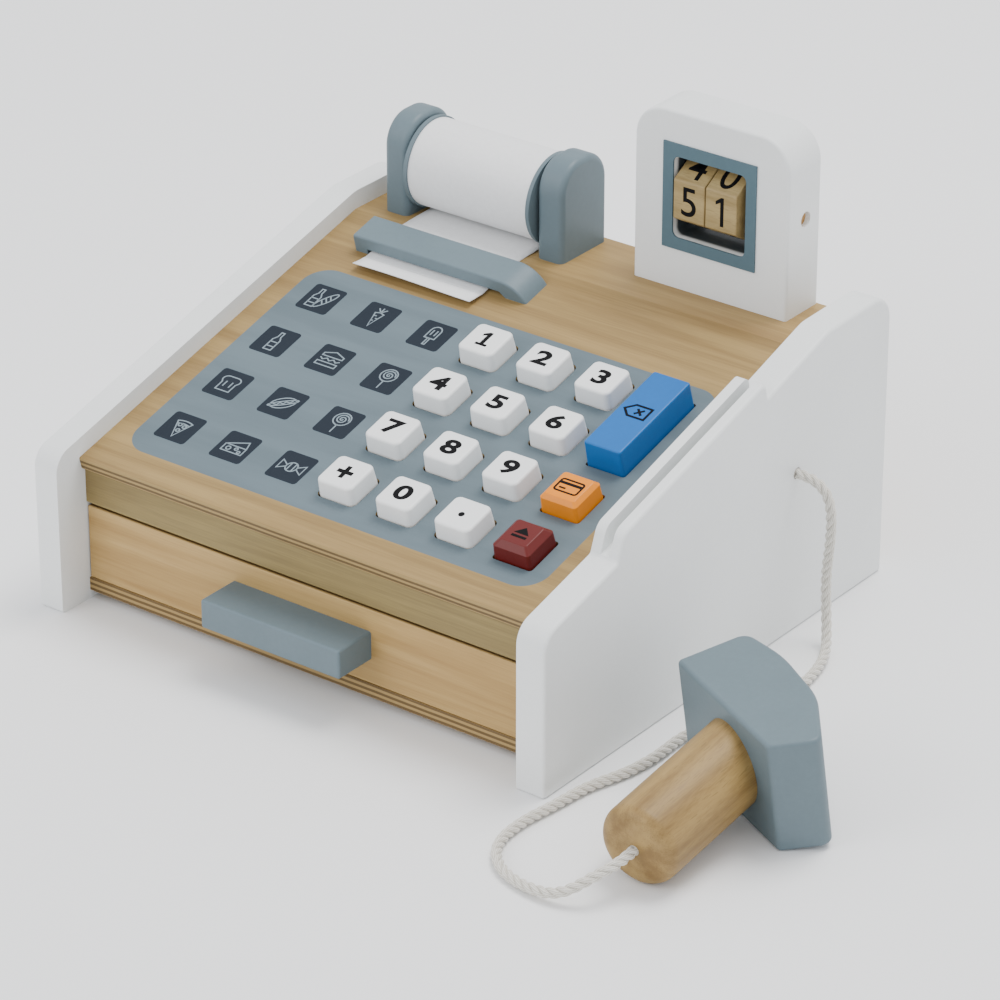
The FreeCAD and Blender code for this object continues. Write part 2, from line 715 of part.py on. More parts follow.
def scanner_frame():
    """Directions along the head, across it and out of its flat face, and the head's corner on the table."""
    yaw, lean = math.radians(HEAD_YAW), math.radians(HEAD_LEAN)
    along = V(math.cos(yaw), math.sin(yaw), 0)
    level = V(-math.sin(yaw), math.cos(yaw), 0)
    out = level * math.cos(lean) + Z_AXIS * math.sin(lean)
    across = Z_AXIS * math.cos(lean) - level * math.sin(lean)
    lowered = HEAD_EDGE_ROUND * (math.sin(lean) + math.cos(lean) - 1)
    return along, across, out, HEAD_CORNER - along * HEAD_LENGTH - Z_AXIS * lowered


def handle_line():
    """Middle of the handle's root on the head's flat face, and the direction out to its free end."""
    along, across, out, corner = scanner_frame()
    slant = math.radians(HANDLE_SLANT)
    root = corner + along * HANDLE_ALONG + across * (HEAD_WIDTH / 2)
    return root, along * math.sin(slant) - out * math.cos(slant)


def make_scanner_head(dowel):
    along, across, out, corner = scanner_frame()
    at = lambda u, w: corner + along * u + out * w
    corners = [
        (at(0, 0), 2.5),
        (at(-1.5, 32.5), 6),
        (at(22, 36.5), 60),
        (at(55, 33.5), 40),
        (at(84, 19.5), 5),
        (at(HEAD_LENGTH, 0), 2.5),
    ]
    face = Part.Face(rounded_profile(corners))
    head = face.extrude(across * HEAD_WIDTH)
    ends = [f for f in head.Faces if abs(f.normalAt(0, 0).dot(across)) > 0.999]
    rim = [e for f in ends for e in f.Edges]
    return head.makeFillet(HEAD_EDGE_ROUND, rim).cut(dowel)


def make_scanner_handle(dowel, stub):
    root, outward = handle_line()
    along, across, out, corner = scanner_frame()
    reach = 20.0
    grip = Part.makeCylinder(HANDLE_R, HANDLE_LENGTH_OUT + reach, root - outward * reach, outward)
    far = root + outward * HANDLE_LENGTH_OUT
    rim = [e for e in grip.Edges if e.BoundBox.Center.distanceToPoint(far) < 2]
    grip = grip.makeFillet(HANDLE_END_ROUND, rim)
    size = 200.0
    head_side = Part.makeBox(size, size, size)
    facing = FreeCAD.Rotation(across, along, out, "ZXY")
    placing = FreeCAD.Placement(root - along * (size / 2) - across * (size / 2), facing)
    head_side = head_side.transformed(placing.toMatrix())
    return grip.cut(head_side).cut(dowel).cut(stub)


def make_scanner_dowel():
    root, outward = handle_line()
    return rod(4.0, root - outward * 16, root + outward * 22)


def handle_end():
    root, outward = handle_line()
    return root + outward * HANDLE_LENGTH_OUT, outward


def make_scanner_cord_end():
    end, outward = handle_end()
    return rod(CORD_D / 2, end - outward * CORD_STUB, end)


# ---------------------------------------------------------------- cord

def cord_route():
    """The cord's way from the side panel, down to the table, round behind the head and into the handle."""
    end, outward = handle_end()
    return [
        CORD_HOLE,
        CORD_HOLE + V(8.0, 0, 0),
        V(149.0, 174.4, 69.6),
        V(151.3, 174.8, 60.5),
        V(150.6, 175.4, 46.5),
        V(148.6, 176.2, 31.0),
        V(149.2, 176.0, 18.0),
        V(152.2, 172.6, 8.2),
        V(157.2, 165.2, 3.0),
        V(162.6, 153.0, 2.5),
        V(166.0, 134.0, 2.5),
        V(162.5, 112.5, 2.5),
        V(155.0, 91.0, 2.5),
        V(150.5, 70.5, 2.5),
        V(151.8, 51.0, 2.5),
        V(149.5, 33.0, 2.5),
        V(143.5, 16.0, 2.5),
        V(141.8, -3.0, 2.5),
        V(138.8, -21.5, 2.5),
        V(140.5, -40.5, 2.5),
        V(152.5, -54.5, 2.5),
        V(169.5, -59.5, 2.6),
        V(185.0, -58.8, 4.6),
        end + outward * 18 + V(-3.6, 0, -1.0),
        end + outward * 9,
        end,
    ]


def make_cord():
    points = cord_route()
    runs = [(points[i + 1] - points[i]).Length for i in range(len(points) - 1)]
    edges = []
    last = points[0]
    for i in range(1, len(points) - 1):
        back = (points[i - 1] - points[i]).normalize()
        ahead = (points[i + 1] - points[i]).normalize()
        turn = math.pi - math.acos(max(-1.0, min(1.0, back.dot(ahead))))
        reach = 0.45 * min(runs[i - 1], runs[i])
        radius = reach / math.tan(turn / 2)
        shown = (i, math.degrees(turn), radius, runs[i])
        print("cord bend %2d turn %5.1f deg radius %6.1f mm, run %5.1f" % shown)
        start, stop = points[i] + back * reach, points[i] + ahead * reach
        middle = (back + ahead).normalize()
        centre = points[i] + middle * (radius / math.cos(turn / 2))
        edges.append(Part.LineSegment(last, start).toShape())
        edges.append(Part.Arc(start, centre - middle * radius, stop).toShape())
        last = stop
    edges.append(Part.LineSegment(last, points[-1]).toShape())
    path = Part.Wire(edges)
    first = (points[1] - points[0]).normalize()
    section = Part.Wire([Part.makeCircle(CORD_D / 2, points[0], first)])
    tube = path.makePipeShell([section], True, False)
    wanted = math.pi * (CORD_D / 2) ** 2 * path.Length
    print("cord length %.1f mm, volume %.1f of %.1f mm3" % (path.Length, tube.Volume, wanted))
    return tube


def make_cord_anchor():
    """The stretch of cord in the side panel, with the knot that holds it inside."""
    r, knot_r, knot_x = CORD_D / 2, 4.6, half_inner - 5.0
    half = math.sqrt(knot_r * knot_r - r * r)
    at = lambda x, out: V(x, CORD_HOLE.y, CORD_HOLE.z + out)
    corners = [at(knot_x + half, r), at(CORD_HOLE.x, r), at(CORD_HOLE.x, 0)]
    corners += [at(knot_x - 10, 0), at(knot_x - 10, r)]
    corners.append(at(knot_x - half, r))
    edges = [Part.LineSegment(a, b).toShape() for a, b in zip(corners, corners[1:])]
    edges.append(Part.Arc(corners[-1], at(knot_x, knot_r), corners[0]).toShape())
    return Part.Face(Part.Wire(edges)).revolve(at(0, 0), X_AXIS, 360)


# ---------------------------------------------------------------- the whole toy

def build():
    keys = key_specs()
    case_dowels = make_case_dowels()
    handle_screws = make_handle_screws()
    roll_axle = make_roll_axle()
    support_dowels = make_support_dowels()
    display_dowels = make_display_dowels()
    display_axle = make_display_axle()
    scanner_dowel = make_scanner_dowel()
    cord_end = make_scanner_cord_end()
    parts = {
        "left_side_panel": make_left_side_panel().cut(case_dowels),
        "right_side_panel": make_right_side_panel().cut(case_dowels),
        "base_board": make_base_board().cut(case_dowels),
        "back_panel": make_back_panel().cut(case_dowels),
        "front_rail": make_front_rail().cut(case_dowels),
        "key_deck": make_key_deck(keys),
        "top_shelf": make_top_shelf().cut(support_dowels).cut(display_dowels),
        "key_bed": make_key_bed(),
        "key_bed_battens": make_key_bed_battens(),
        "key_springs": make_key_springs(keys),
        "drawer_stop": make_drawer_stop(),
        "case_dowels": case_dowels,
        "receipt_bridge": make_receipt_bridge(),
        "receipt_strip": make_receipt_strip(),
        "left_roll_support": make_roll_support(*LEFT_SUPPORT, roll_axle, support_dowels),
        "right_roll_support": make_roll_support(*RIGHT_SUPPORT, roll_axle, support_dowels),
        "support_dowels": support_dowels,
        "roll_axle": roll_axle,
        "roll_core": make_roll_core(),
        "paper_roll": make_paper_roll(),
        "display_block": make_display_block(display_axle, display_dowels),
        "display_bezel": make_display_bezel(),
        "display_axle": display_axle,
        "display_dowels": display_dowels,
        "tens_wheel": make_number_wheel(WHEEL_LEFT),
        "units_wheel": make_number_wheel(WHEEL_LEFT + WHEEL_WIDTH + WHEEL_GAP),
        "wheel_washers": make_wheel_washers(),
        "drawer_front": make_drawer_front().cut(handle_screws),
        "drawer_side_left": make_drawer_side(-1),
        "drawer_side_right": make_drawer_side(1),
        "drawer_back": make_drawer_back(),
        "drawer_bottom": make_drawer_bottom(),
        "divider_left": make_divider(-1),
        "divider_right": make_divider(1),
        "drawer_handle": make_drawer_handle(handle_screws),
        "handle_screws": handle_screws,
        "scanner_head": make_scanner_head(scanner_dowel),
        "scanner_handle": make_scanner_handle(scanner_dowel, cord_end),
        "scanner_dowel": scanner_dowel,
        "scanner_cord_end": cord_end,
        "cord": make_cord(),
        "cord_anchor": make_cord_anchor(),
    }
    for spec in keys:
        parts[spec["name"]] = make_key(spec)
    return parts


def origin_shift(parts):
    """From the building frame to the centre of the bottom of the toy's box, without its cord."""
    whole = FreeCAD.BoundBox()
    for name, shape in parts.items():
        if name != "cord":
            whole.add(shape.optimalBoundingBox(False, False))
    return V(-whole.Center.x, -whole.Center.y, 0)


def write(parts, shift):
    os.makedirs("parts", exist_ok=True)
    for name, shape in parts.items():
        moved = shape.translated(shift)
        if not moved.isValid():
            print("not valid:", name)
        moved.exportStep("parts/%s.step" % name)


all_parts = build()
shift = origin_shift(all_parts)
print("shift", shift, "nodes", len(all_parts))
write(all_parts, shift)
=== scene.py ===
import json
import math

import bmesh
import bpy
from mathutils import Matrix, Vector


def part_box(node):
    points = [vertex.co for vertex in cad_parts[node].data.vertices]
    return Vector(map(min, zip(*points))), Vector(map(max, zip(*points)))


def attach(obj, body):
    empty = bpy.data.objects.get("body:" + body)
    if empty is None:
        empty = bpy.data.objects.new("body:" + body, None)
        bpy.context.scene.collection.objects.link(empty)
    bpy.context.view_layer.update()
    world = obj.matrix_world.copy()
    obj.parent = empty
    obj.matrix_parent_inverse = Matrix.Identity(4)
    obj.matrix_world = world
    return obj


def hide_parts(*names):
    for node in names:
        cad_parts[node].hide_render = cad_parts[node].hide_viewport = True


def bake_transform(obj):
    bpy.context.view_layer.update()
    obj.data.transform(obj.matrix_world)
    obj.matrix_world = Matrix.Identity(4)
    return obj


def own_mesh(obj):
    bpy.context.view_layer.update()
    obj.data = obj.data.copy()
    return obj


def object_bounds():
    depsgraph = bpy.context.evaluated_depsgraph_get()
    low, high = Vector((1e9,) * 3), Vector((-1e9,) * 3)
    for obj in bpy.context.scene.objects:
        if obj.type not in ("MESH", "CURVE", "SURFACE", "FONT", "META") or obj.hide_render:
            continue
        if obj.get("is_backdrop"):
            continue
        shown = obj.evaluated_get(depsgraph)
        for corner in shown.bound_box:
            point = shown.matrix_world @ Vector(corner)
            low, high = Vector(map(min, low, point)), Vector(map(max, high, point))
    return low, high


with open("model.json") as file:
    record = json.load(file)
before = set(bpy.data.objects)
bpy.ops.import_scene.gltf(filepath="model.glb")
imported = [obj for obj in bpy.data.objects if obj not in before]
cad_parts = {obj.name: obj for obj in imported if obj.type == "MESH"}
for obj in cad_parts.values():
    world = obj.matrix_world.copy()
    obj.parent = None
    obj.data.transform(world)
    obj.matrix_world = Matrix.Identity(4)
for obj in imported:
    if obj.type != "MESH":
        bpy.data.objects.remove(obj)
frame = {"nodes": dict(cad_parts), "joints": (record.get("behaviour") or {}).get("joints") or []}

# %% [markdown]
# # A wooden toy cash register
# The real toy is painted fibreboard, birch plywood and a few turned wooden pieces. The frame that was
# loaded above already holds every wooden piece at its true size, so this lesson is about what a shape
# alone can't give: the twisted cord, the paper, the print on the keys, and above all the finishes.
# Blender works in metres, so a small unit keeps the numbers readable as millimetres.

MM = 0.001
cad_box = [list(corner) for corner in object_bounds()]
low, high = (Vector(corner) for corner in cad_box)
middle = (low + high) / 2
print("size in mm", [round(side / MM, 1) for side in high - low])


# %% [markdown]
# ## Measuring the frame
# The deck slopes, so up and across aren't the axes of the world there. The keys press straight into
# the deck, and their joint says in which direction; everything on the deck is placed from that. A
# piece's own length along any direction comes from its corner points.

# %% Directions of the deck, and a ruler
press = next(j for j in frame["joints"] if j["name"] == "key_1_press")
deck_out = -Vector(press["axis"]).normalized()
deck_up = Vector((0, deck_out.z, -deck_out.y))
across = Vector((1, 0, 0))


def extent(node, direction):
    """Lowest and highest place of a CAD node along a direction."""
    places = [v.co.dot(direction) for v in frame["nodes"][node].data.vertices]
    return min(places), max(places)


def centre(node, direction):
    return sum(extent(node, direction)) / 2


def box_centre(node):
    box_low, box_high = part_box(node)
    return (Vector(box_low) + Vector(box_high)) / 2


def laid_on(right, up, out, origin):
    """Matrix that lays a drawing's x, y and z along three directions, from an origin."""
    turn = Matrix((right, up, out)).transposed().to_4x4()
    return Matrix.Translation(origin) @ turn


def on_deck(x, up, out):
    """Matrix for a drawing on the slope: x across, up the slope, out of the deck."""
    return laid_on(across, deck_up, deck_out, across * x + deck_up * up + deck_out * out)


deck_level = extent("key_deck", deck_out)[1]
print("deck slope in degrees", round(math.degrees(math.acos(deck_out.z)), 2))


# %% [markdown]
# ## The camera
# A long lens from the shopkeeper's right hand looks down on the keys and along the right side panel.
# It is aimed a little left of the middle of the whole group, because the case is the heavy part of it.

# %% Camera
AZIMUTH, ELEVATION = math.radians(37.2), math.radians(27.4)
DISTANCE = 1.984
LENS_PER_SENSOR = 4.82


def put_in_scene(name, data):
    made = bpy.data.objects.new(name, data)
    bpy.context.scene.collection.objects.link(made)
    return made


towards = Vector((
    math.sin(AZIMUTH) * math.cos(ELEVATION),
    -math.cos(AZIMUTH) * math.cos(ELEVATION),
    math.sin(ELEVATION),
))
aim = Vector((middle.x - 0.012, middle.y - 0.002, 0.068))
camera_data = bpy.data.cameras.new("camera")
camera_data.sensor_width = 36.0
camera_data.lens = LENS_PER_SENSOR * camera_data.sensor_width
camera_data.clip_start, camera_data.clip_end = 0.05, 50.0
camera = put_in_scene("camera", camera_data)
camera.location = aim + towards * DISTANCE
camera.rotation_euler = (-towards).to_track_quat("-Z", "Y").to_euler()
bpy.context.scene.camera = camera
print("lens", round(camera_data.lens, 1), "mm, standing", DISTANCE, "m away")


# %% [markdown]
# ## The cord's way
# The scanner hangs on a soft cotton cord. It leaves a hole in the side panel, drops to the table, runs
# behind the scanner's head and bends round into the end of the handle. A NURBS curve through a few
# listed points gives such a lazy line: order three makes it smooth, and the end-point switch makes
# it start and finish exactly on the first and last point. Both are set after the points exist.

# %% Route of the cord
CORD_WIDTH = 4.6 * MM
anchor_low, anchor_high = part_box("cord_anchor")
_, hole_y, hole_z = ((a + b) / 2 for a, b in zip(anchor_low, anchor_high))
hole = Vector((anchor_high[0], hole_y, hole_z))
ROUTE_MM = [
    (0.0, 0.0, 74.3), (8.0, 0.0, 74.3), (15.0, 0.2, 69.6), (17.3, 0.6, 60.5), (16.6, 1.2, 46.5),
    (14.6, 2.0, 31.0), (15.2, 1.8, 18.0), (18.2, -1.6, 8.2), (23.2, -9.0, 3.0), (28.6, -21.2, 2.5),
    (32.0, -40.2, 2.5), (28.5, -61.7, 2.5), (21.0, -83.2, 2.5), (16.5, -103.7, 2.5),
    (17.8, -123.2, 2.5), (15.5, -141.2, 2.5), (9.5, -158.2, 2.5), (7.8, -177.2, 2.5),
    (4.8, -195.7, 2.5), (6.5, -214.7, 2.5), (18.5, -228.7, 2.5), (35.5, -233.7, 2.6),
    (51.0, -233.0, 4.6), (62.255, -223.175, 13.578), (65.777, -214.235, 15.611),
    (65.699, -205.295, 16.643),
]
route_curve = bpy.data.curves.new("cord_route", "CURVE")
route_curve.dimensions = "3D"
route_curve.resolution_u = 14
route_line = route_curve.splines.new("NURBS")
route_line.points.add(len(ROUTE_MM) - 1)
for point, (right, back, up) in zip(route_line.points, ROUTE_MM):
    point.co = (hole.x + right * MM, hole.y + back * MM, up * MM, 1)
route_line.order_u = 3
route_line.use_endpoint_u = True
route_holder = bpy.data.objects.new("cord_route", route_curve)
route_mesh = bpy.data.meshes.new_from_object(route_holder)
cord_path = [v.co.copy() for v in route_mesh.vertices]


# %% [markdown]
# ## Three strands twisted together
# A smooth tube would look like a plastic lead. The real cord is three cotton strands laid round each
# other, so three thinner tubes wind round the path. Three circles that touch each other fit in a circle
# 2.15 times as wide, which gives the width of a strand. A frame is carried along the path without
# spinning, so that only the lay itself turns the strands. Each strand gets a UV map that runs along it
# and round it, for the fine yarns of the finish.

# %% Rope
STRANDS = 3
LAY_LENGTH = 13.0 * MM
STRAND_SIDES = 12
STRAND_SHARE = 1 + 2 / math.sqrt(3)
strand_radius = CORD_WIDTH / 2 / STRAND_SHARE
strand_reach = CORD_WIDTH / 2 - strand_radius


def even_steps(points, step):
    """Points at equal distances along a line, its first and last point kept."""
    total = sum((b - a).length for a, b in zip(points, points[1:]))
    count = max(2, round(total / step))
    places, gone, i = [], 0.0, 0
    for k in range(count + 1):
        wanted = total * k / count
        while i < len(points) - 2 and gone + (points[i + 1] - points[i]).length < wanted:
            gone += (points[i + 1] - points[i]).length
            i += 1
        run = points[i + 1] - points[i]
        places.append(points[i] + run * min(1.0, (wanted - gone) / run.length))
    return places


def carried_frames(points):
    """Direction, side and top at each point, carried along the line without spinning."""
    frames, side = [], Vector((0, 0, 1))
    for i in range(len(points)):
        run = (points[min(i + 1, len(points) - 1)] - points[max(i - 1, 0)]).normalized()
        side = (side - run * side.dot(run)).normalized()
        frames.append((run, side, run.cross(side)))
    return frames


def add_tube(mesh, line, radius, sides, uv_layer):
    """Closed tube round a line of points, with a UV map along and round it."""
    rings, along, gone = [], [], 0.0
    angles = [2 * math.pi * k / sides for k in range(sides)]
    for i, (point, (_, side, top)) in enumerate(zip(line, carried_frames(line))):
        gone += (line[i] - line[i - 1]).length if i else 0.0
        along.append(gone)
        spokes = [side * math.cos(a) + top * math.sin(a) for a in angles]
        rings.append([mesh.verts.new(point + spoke * radius) for spoke in spokes])
    for i in range(len(rings) - 1):
        for k in range(sides):
            n = (k + 1) % sides
            face = mesh.faces.new((rings[i][k], rings[i][n], rings[i + 1][n], rings[i + 1][k]))
            face.smooth = True
            corners = ((i, k), (i, k + 1), (i + 1, k + 1), (i + 1, k))
            for loop, (row, column) in zip(face.loops, corners):
                loop[uv_layer].uv = (along[row] / (2 * math.pi * radius), column / sides)
    mesh.faces.new(list(reversed(rings[0])))
    mesh.faces.new(rings[-1])


def finish_mesh(name, mesh):
    """Turns a bmesh into an object of the scene."""
    bmesh.ops.recalc_face_normals(mesh, faces=mesh.faces)
    data = bpy.data.meshes.new(name)
    mesh.to_mesh(data)
    mesh.free()
    return put_in_scene(name, data)


ROPE_STEP = 0.8 * MM
fine_path = even_steps(cord_path, ROPE_STEP)
rope_mesh = bmesh.new()
rope_uv = rope_mesh.loops.layers.uv.new("yarn")
for strand in range(STRANDS):
    strand_line = []
    for i, (point, (_, side, top)) in enumerate(zip(fine_path, carried_frames(fine_path))):
        angle = 2 * math.pi * (strand / STRANDS + i * ROPE_STEP / LAY_LENGTH)
        strand_line.append(point + (side * math.cos(angle) + top * math.sin(angle)) * strand_reach)
    add_tube(rope_mesh, strand_line, strand_radius, STRAND_SIDES, rope_uv)
rope = finish_mesh("rope", rope_mesh)
print("rope has", len(rope.data.vertices), "points, strand radius", round(strand_radius / MM, 2), "mm")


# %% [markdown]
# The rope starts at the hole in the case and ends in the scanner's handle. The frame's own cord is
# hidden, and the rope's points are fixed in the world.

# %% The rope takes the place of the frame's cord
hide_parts("cord")
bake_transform(rope)
print("rope declared from", [round(c / MM, 1) for c in hole])


# %% [markdown]
# ## A small language for finishes
# Node trees are hard to read as code, so two small classes help. A Wire is a shader socket that can be
# used in sums: mask * 0.5 + 0.1 adds the Math nodes by itself, and so does 1 - mask. A Finish is one
# material; its add method makes any node from a type, its settings and its socket values. Colours are
# given as they look on a screen and turned into the linear light values that Blender works with.

# %% Wires and finishes
class Wire:
    """A shader socket that can be used in sums."""

    def __init__(self, finish, socket):
        self.finish, self.socket = finish, socket

    def math(self, operation, *values):
        return self.finish.add("ShaderNodeMath", {"operation": operation}, dict(enumerate(values)))

    def __add__(self, other):
        return self.math("ADD", self, other)

    def __radd__(self, other):
        return self.math("ADD", other, self)

    def __sub__(self, other):
        return self.math("SUBTRACT", self, other)

    def __rsub__(self, other):
        return self.math("SUBTRACT", other, self)

    def __mul__(self, other):
        return self.math("MULTIPLY", self, other)

    def __rmul__(self, other):
        return self.math("MULTIPLY", other, self)

    def __truediv__(self, other):
        return self.math("DIVIDE", self, other)

    def __rtruediv__(self, other):
        return self.math("DIVIDE", other, self)

    def size(self):
        return self.math("ABSOLUTE", self)

    def root(self):
        return self.math("SQRT", self)

    def larger(self, other):
        return self.math("MAXIMUM", self, other)

    def rise(self, start, end):
        """0 up to start, 1 from end, with a soft step between them."""
        return self.finish.add(
            "ShaderNodeMapRange",
            {"interpolation_type": "SMOOTHSTEP"},
            {"Value": self, "From Min": start, "From Max": end},
        )


def paint(red, green, blue):
    """Screen colour, 0 to 255, as linear light."""
    parts = [c / 255 for c in (red, green, blue)]
    linear = [c / 12.92 if c <= 0.04045 else ((c + 0.055) / 1.055) ** 2.4 for c in parts]
    return (*linear, 1.0)


class Finish:
    """One material and the nodes that make it."""

    def __init__(self, name, **uniform):
        self.material = bpy.data.materials.new(name)
        self.material.use_nodes = True
        self.tree = self.material.node_tree
        self.shader = self.tree.nodes["Principled BSDF"]
        self.place = self.add("ShaderNodeTexCoord", out="Object")
        for socket, value in uniform.items():
            self.shader.inputs[socket.replace("_", " ")].default_value = value

    def add(self, kind, settings=None, sockets=None, out=0):
        node = self.tree.nodes.new(kind)
        for setting, value in (settings or {}).items():
            if setting == "stops":
                while len(node.color_ramp.elements) < len(value):
                    node.color_ramp.elements.new(1.0)
                for stop, (position, colour) in zip(node.color_ramp.elements, value):
                    stop.position, stop.color = position, colour
            else:
                setattr(node, setting, value)
        for key, value in (sockets or {}).items():
            if isinstance(value, Wire):
                self.tree.links.new(value.socket, node.inputs[key])
            else:
                node.inputs[key].default_value = value
        return Wire(self, node.outputs[out])

    def colour(self):
        """The colour that the finish has so far."""
        return Wire(self, self.shader.inputs["Base Color"].links[0].from_socket)

    def feed(self, socket, wire):
        self.tree.links.new(wire.socket, self.shader.inputs[socket])

    def vector(self, operation, sockets, out=0):
        return self.add("ShaderNodeVectorMath", {"operation": operation}, sockets, out)

    def stretched(self, per_metre):
        """The place on the piece, times a number for each axis: small along the grain, large across."""
        return self.vector("MULTIPLY", {0: self.place, 1: per_metre})

    def noise(self, per_metre, detail=3.0, roughness=0.5, distortion=0.0):
        """Cloudy pattern from 0 to 1; per_metre is how many clouds fit in a metre, for each axis."""
        spread = per_metre if isinstance(per_metre, tuple) else (per_metre,) * 3
        sockets = {"Vector": self.stretched(spread), "Scale": 1.0, "Detail": detail}
        sockets.update({"Roughness": roughness, "Distortion": distortion})
        return self.add("ShaderNodeTexNoise", {}, sockets)

    def along(self, direction):
        """How far a place lies along a direction, in metres."""
        return self.vector("DOT_PRODUCT", {0: self.place, 1: tuple(direction)}, "Value")

    def facing(self, direction):
        """How squarely a face looks along a direction or against it, from 0 to 1."""
        normal = self.add("ShaderNodeTexCoord", out="Normal")
        return self.vector("DOT_PRODUCT", {0: normal, 1: tuple(direction)}, "Value").size()

    def mix(self, share, first, second):
        """Colour between two colours."""
        return self.add("ShaderNodeMix", {"data_type": "RGBA"}, {0: share, 6: first, 7: second}, out=2)

    def ramp(self, wire, *stops):
        return self.add("ShaderNodeValToRGB", {"stops": stops}, {"Fac": wire})

    def bump(self, height, distance):
        """Turns a height pattern into small hollows; distance is their depth in metres."""
        sockets = {"Height": height, "Distance": distance, "Strength": 1.0}
        self.feed("Normal", self.add("ShaderNodeBump", {}, sockets))


print("a wire can be added, multiplied and compared; a finish is a material")


# %% [markdown]
# ## Satin lacquer on wood
# The side panels, the keys, the printer and the scanner are sprayed with a satin lacquer. Sprayed
# lacquer is never quite flat: it has a fine orange-peel skin, its colour drifts a little, and its gloss
# changes from spot to spot. One function makes every painted finish, so all paints belong together.

# %% Lacquer
def dimmed(colour, share):
    return (*(c * share for c in colour[:3]), 1.0)


def lacquer(name, colour, gloss=0.4, drift=0.05, shine=0.32):
    made = Finish(name, Specular_IOR_Level=shine)
    clouds = made.noise(22.0, detail=2.0)
    specks = made.noise(420.0, detail=2.0)
    shade = clouds * 0.7 + specks * 0.3
    lighter = (*(min(1.0, c * (1 + drift)) for c in colour[:3]), 1.0)
    made.feed("Base Color", made.mix(shade.rise(0.3, 0.7), dimmed(colour, 1 - drift), lighter))
    made.feed("Roughness", made.noise(60.0) * 0.14 + (gloss - 0.07))
    skin = made.noise(650.0, detail=1.0) * 0.7 + made.noise(1900.0, detail=1.0) * 0.3
    made.bump(skin, 0.035 * MM)
    return made


WHITE = paint(232, 234, 233)
GREY_BLUE = paint(99, 115, 122)
white_lacquer = lacquer("white_lacquer", WHITE, gloss=0.42, drift=0.02)
key_lacquer = lacquer("white_key_lacquer", paint(238, 239, 238), gloss=0.34, drift=0.02)
grey_lacquer = lacquer("grey_blue_lacquer", GREY_BLUE, gloss=0.44)
blue_lacquer = lacquer("blue_key_lacquer", paint(10, 96, 168), gloss=0.38)
orange_lacquer = lacquer("orange_key_lacquer", paint(230, 134, 8), gloss=0.38)
red_lacquer = lacquer("red_key_lacquer", paint(94, 22, 18), gloss=0.38)
print("six lacquers")


# %% [markdown]
# ## Birch plywood
# Plywood shows two quite different surfaces. Its faces have long grain with fine dark pores. Its edges
# show the plies as stripes, light where the grain runs along the edge and darker where it is cut
# across. The finish asks which way a face looks: squarely along the board's thickness means face grain,
# anything else means edge. The stripes are counted out along the thickness.

# %% Plywood
PLY = 1.25 * MM


def plywood(name, thickness, grain, light, dark):
    """Board whose layers are stacked along thickness; grain holds how stretched the pattern is."""
    made = Finish(name, Specular_IOR_Level=0.35)
    along, between = grain
    figure = made.noise(along, detail=5.0, roughness=0.55, distortion=0.8)
    fibres = made.noise(between, detail=4.0, roughness=0.7)
    shade = figure * 0.65 + fibres * 0.35
    middle_tone = tuple((a + b) / 2 for a, b in zip(light, dark))
    face = made.ramp(shade, (0.34, dark), (0.5, middle_tone), (0.64, light))
    pores = fibres.rise(0.6, 0.72)
    face = made.mix(pores * 0.3, face, dimmed(dark, 0.62))
    wobble = made.noise(35.0, detail=2.0) * 0.35
    count = made.along(thickness) / PLY + wobble
    stripe = made.add("ShaderNodeMath", {"operation": "PINGPONG"}, {0: count, 1: 1.0}).rise(0.35, 0.65)
    edge = made.mix(stripe, dimmed(dark, 0.5), dimmed(light, 0.92))
    is_face = made.facing(thickness).rise(0.75, 0.92)
    made.feed("Base Color", made.mix(is_face, edge, face))
    made.feed("Roughness", fibres * 0.25 + 0.42)
    made.bump(fibres * 0.6 + figure * 0.4, 0.05 * MM)
    return made


LENGTHWISE = ((5.0, 90.0, 90.0), (26.0, 1100.0, 1100.0))
FRONT_TO_BACK = ((90.0, 5.0, 90.0), (1100.0, 26.0, 1100.0))
PALE = paint(170, 141, 90)
TAN = paint(138, 109, 64)
up_z, back_y = (0, 0, 1), (0, 1, 0)
flat_board = plywood("plywood_level", up_z, LENGTHWISE, PALE, TAN)
FRONT_LIGHT, FRONT_DARK = paint(188, 156, 100), paint(158, 124, 72)
RAIL_LIGHT, RAIL_DARK = paint(150, 131, 82), paint(108, 90, 54)
upright_board = plywood("plywood_upright", back_y, LENGTHWISE, FRONT_LIGHT, FRONT_DARK)
rail_board = plywood("plywood_front_rail", back_y, LENGTHWISE, RAIL_LIGHT, RAIL_DARK)
side_board = plywood("plywood_drawer_side", (1, 0, 0), FRONT_TO_BACK, PALE, TAN)
print("plies of", round(PLY / MM, 2), "mm")


# %% [markdown]
# ## The printed field on the deck
# The sloping deck is bare plywood round its rim and printed grey-blue in the middle, with round
# corners. The field is part of the deck's own finish: a rounded box is worked out from the distance to
# its middle along the two directions of the slope. The key grid gives its place, because print and
# holes were made from one drawing. A little of the grain shows through the print.

# %% Deck finish
grid_x, grid_up = centre("key_1", across), centre("key_1", deck_up)
pitch_x = (centre("key_3", across) - grid_x) / 2
pitch_up = grid_up - centre("key_4", deck_up)
FIELD_LEFT, FIELD_RIGHT = grid_x - 107.2 * MM, grid_x + 108.8 * MM
FIELD_LOW, FIELD_HIGH = grid_up - 117.5 * MM, grid_up + 19.5 * MM
FIELD_CORNER = 12.0 * MM
PRINT_BLUR = 0.12 * MM

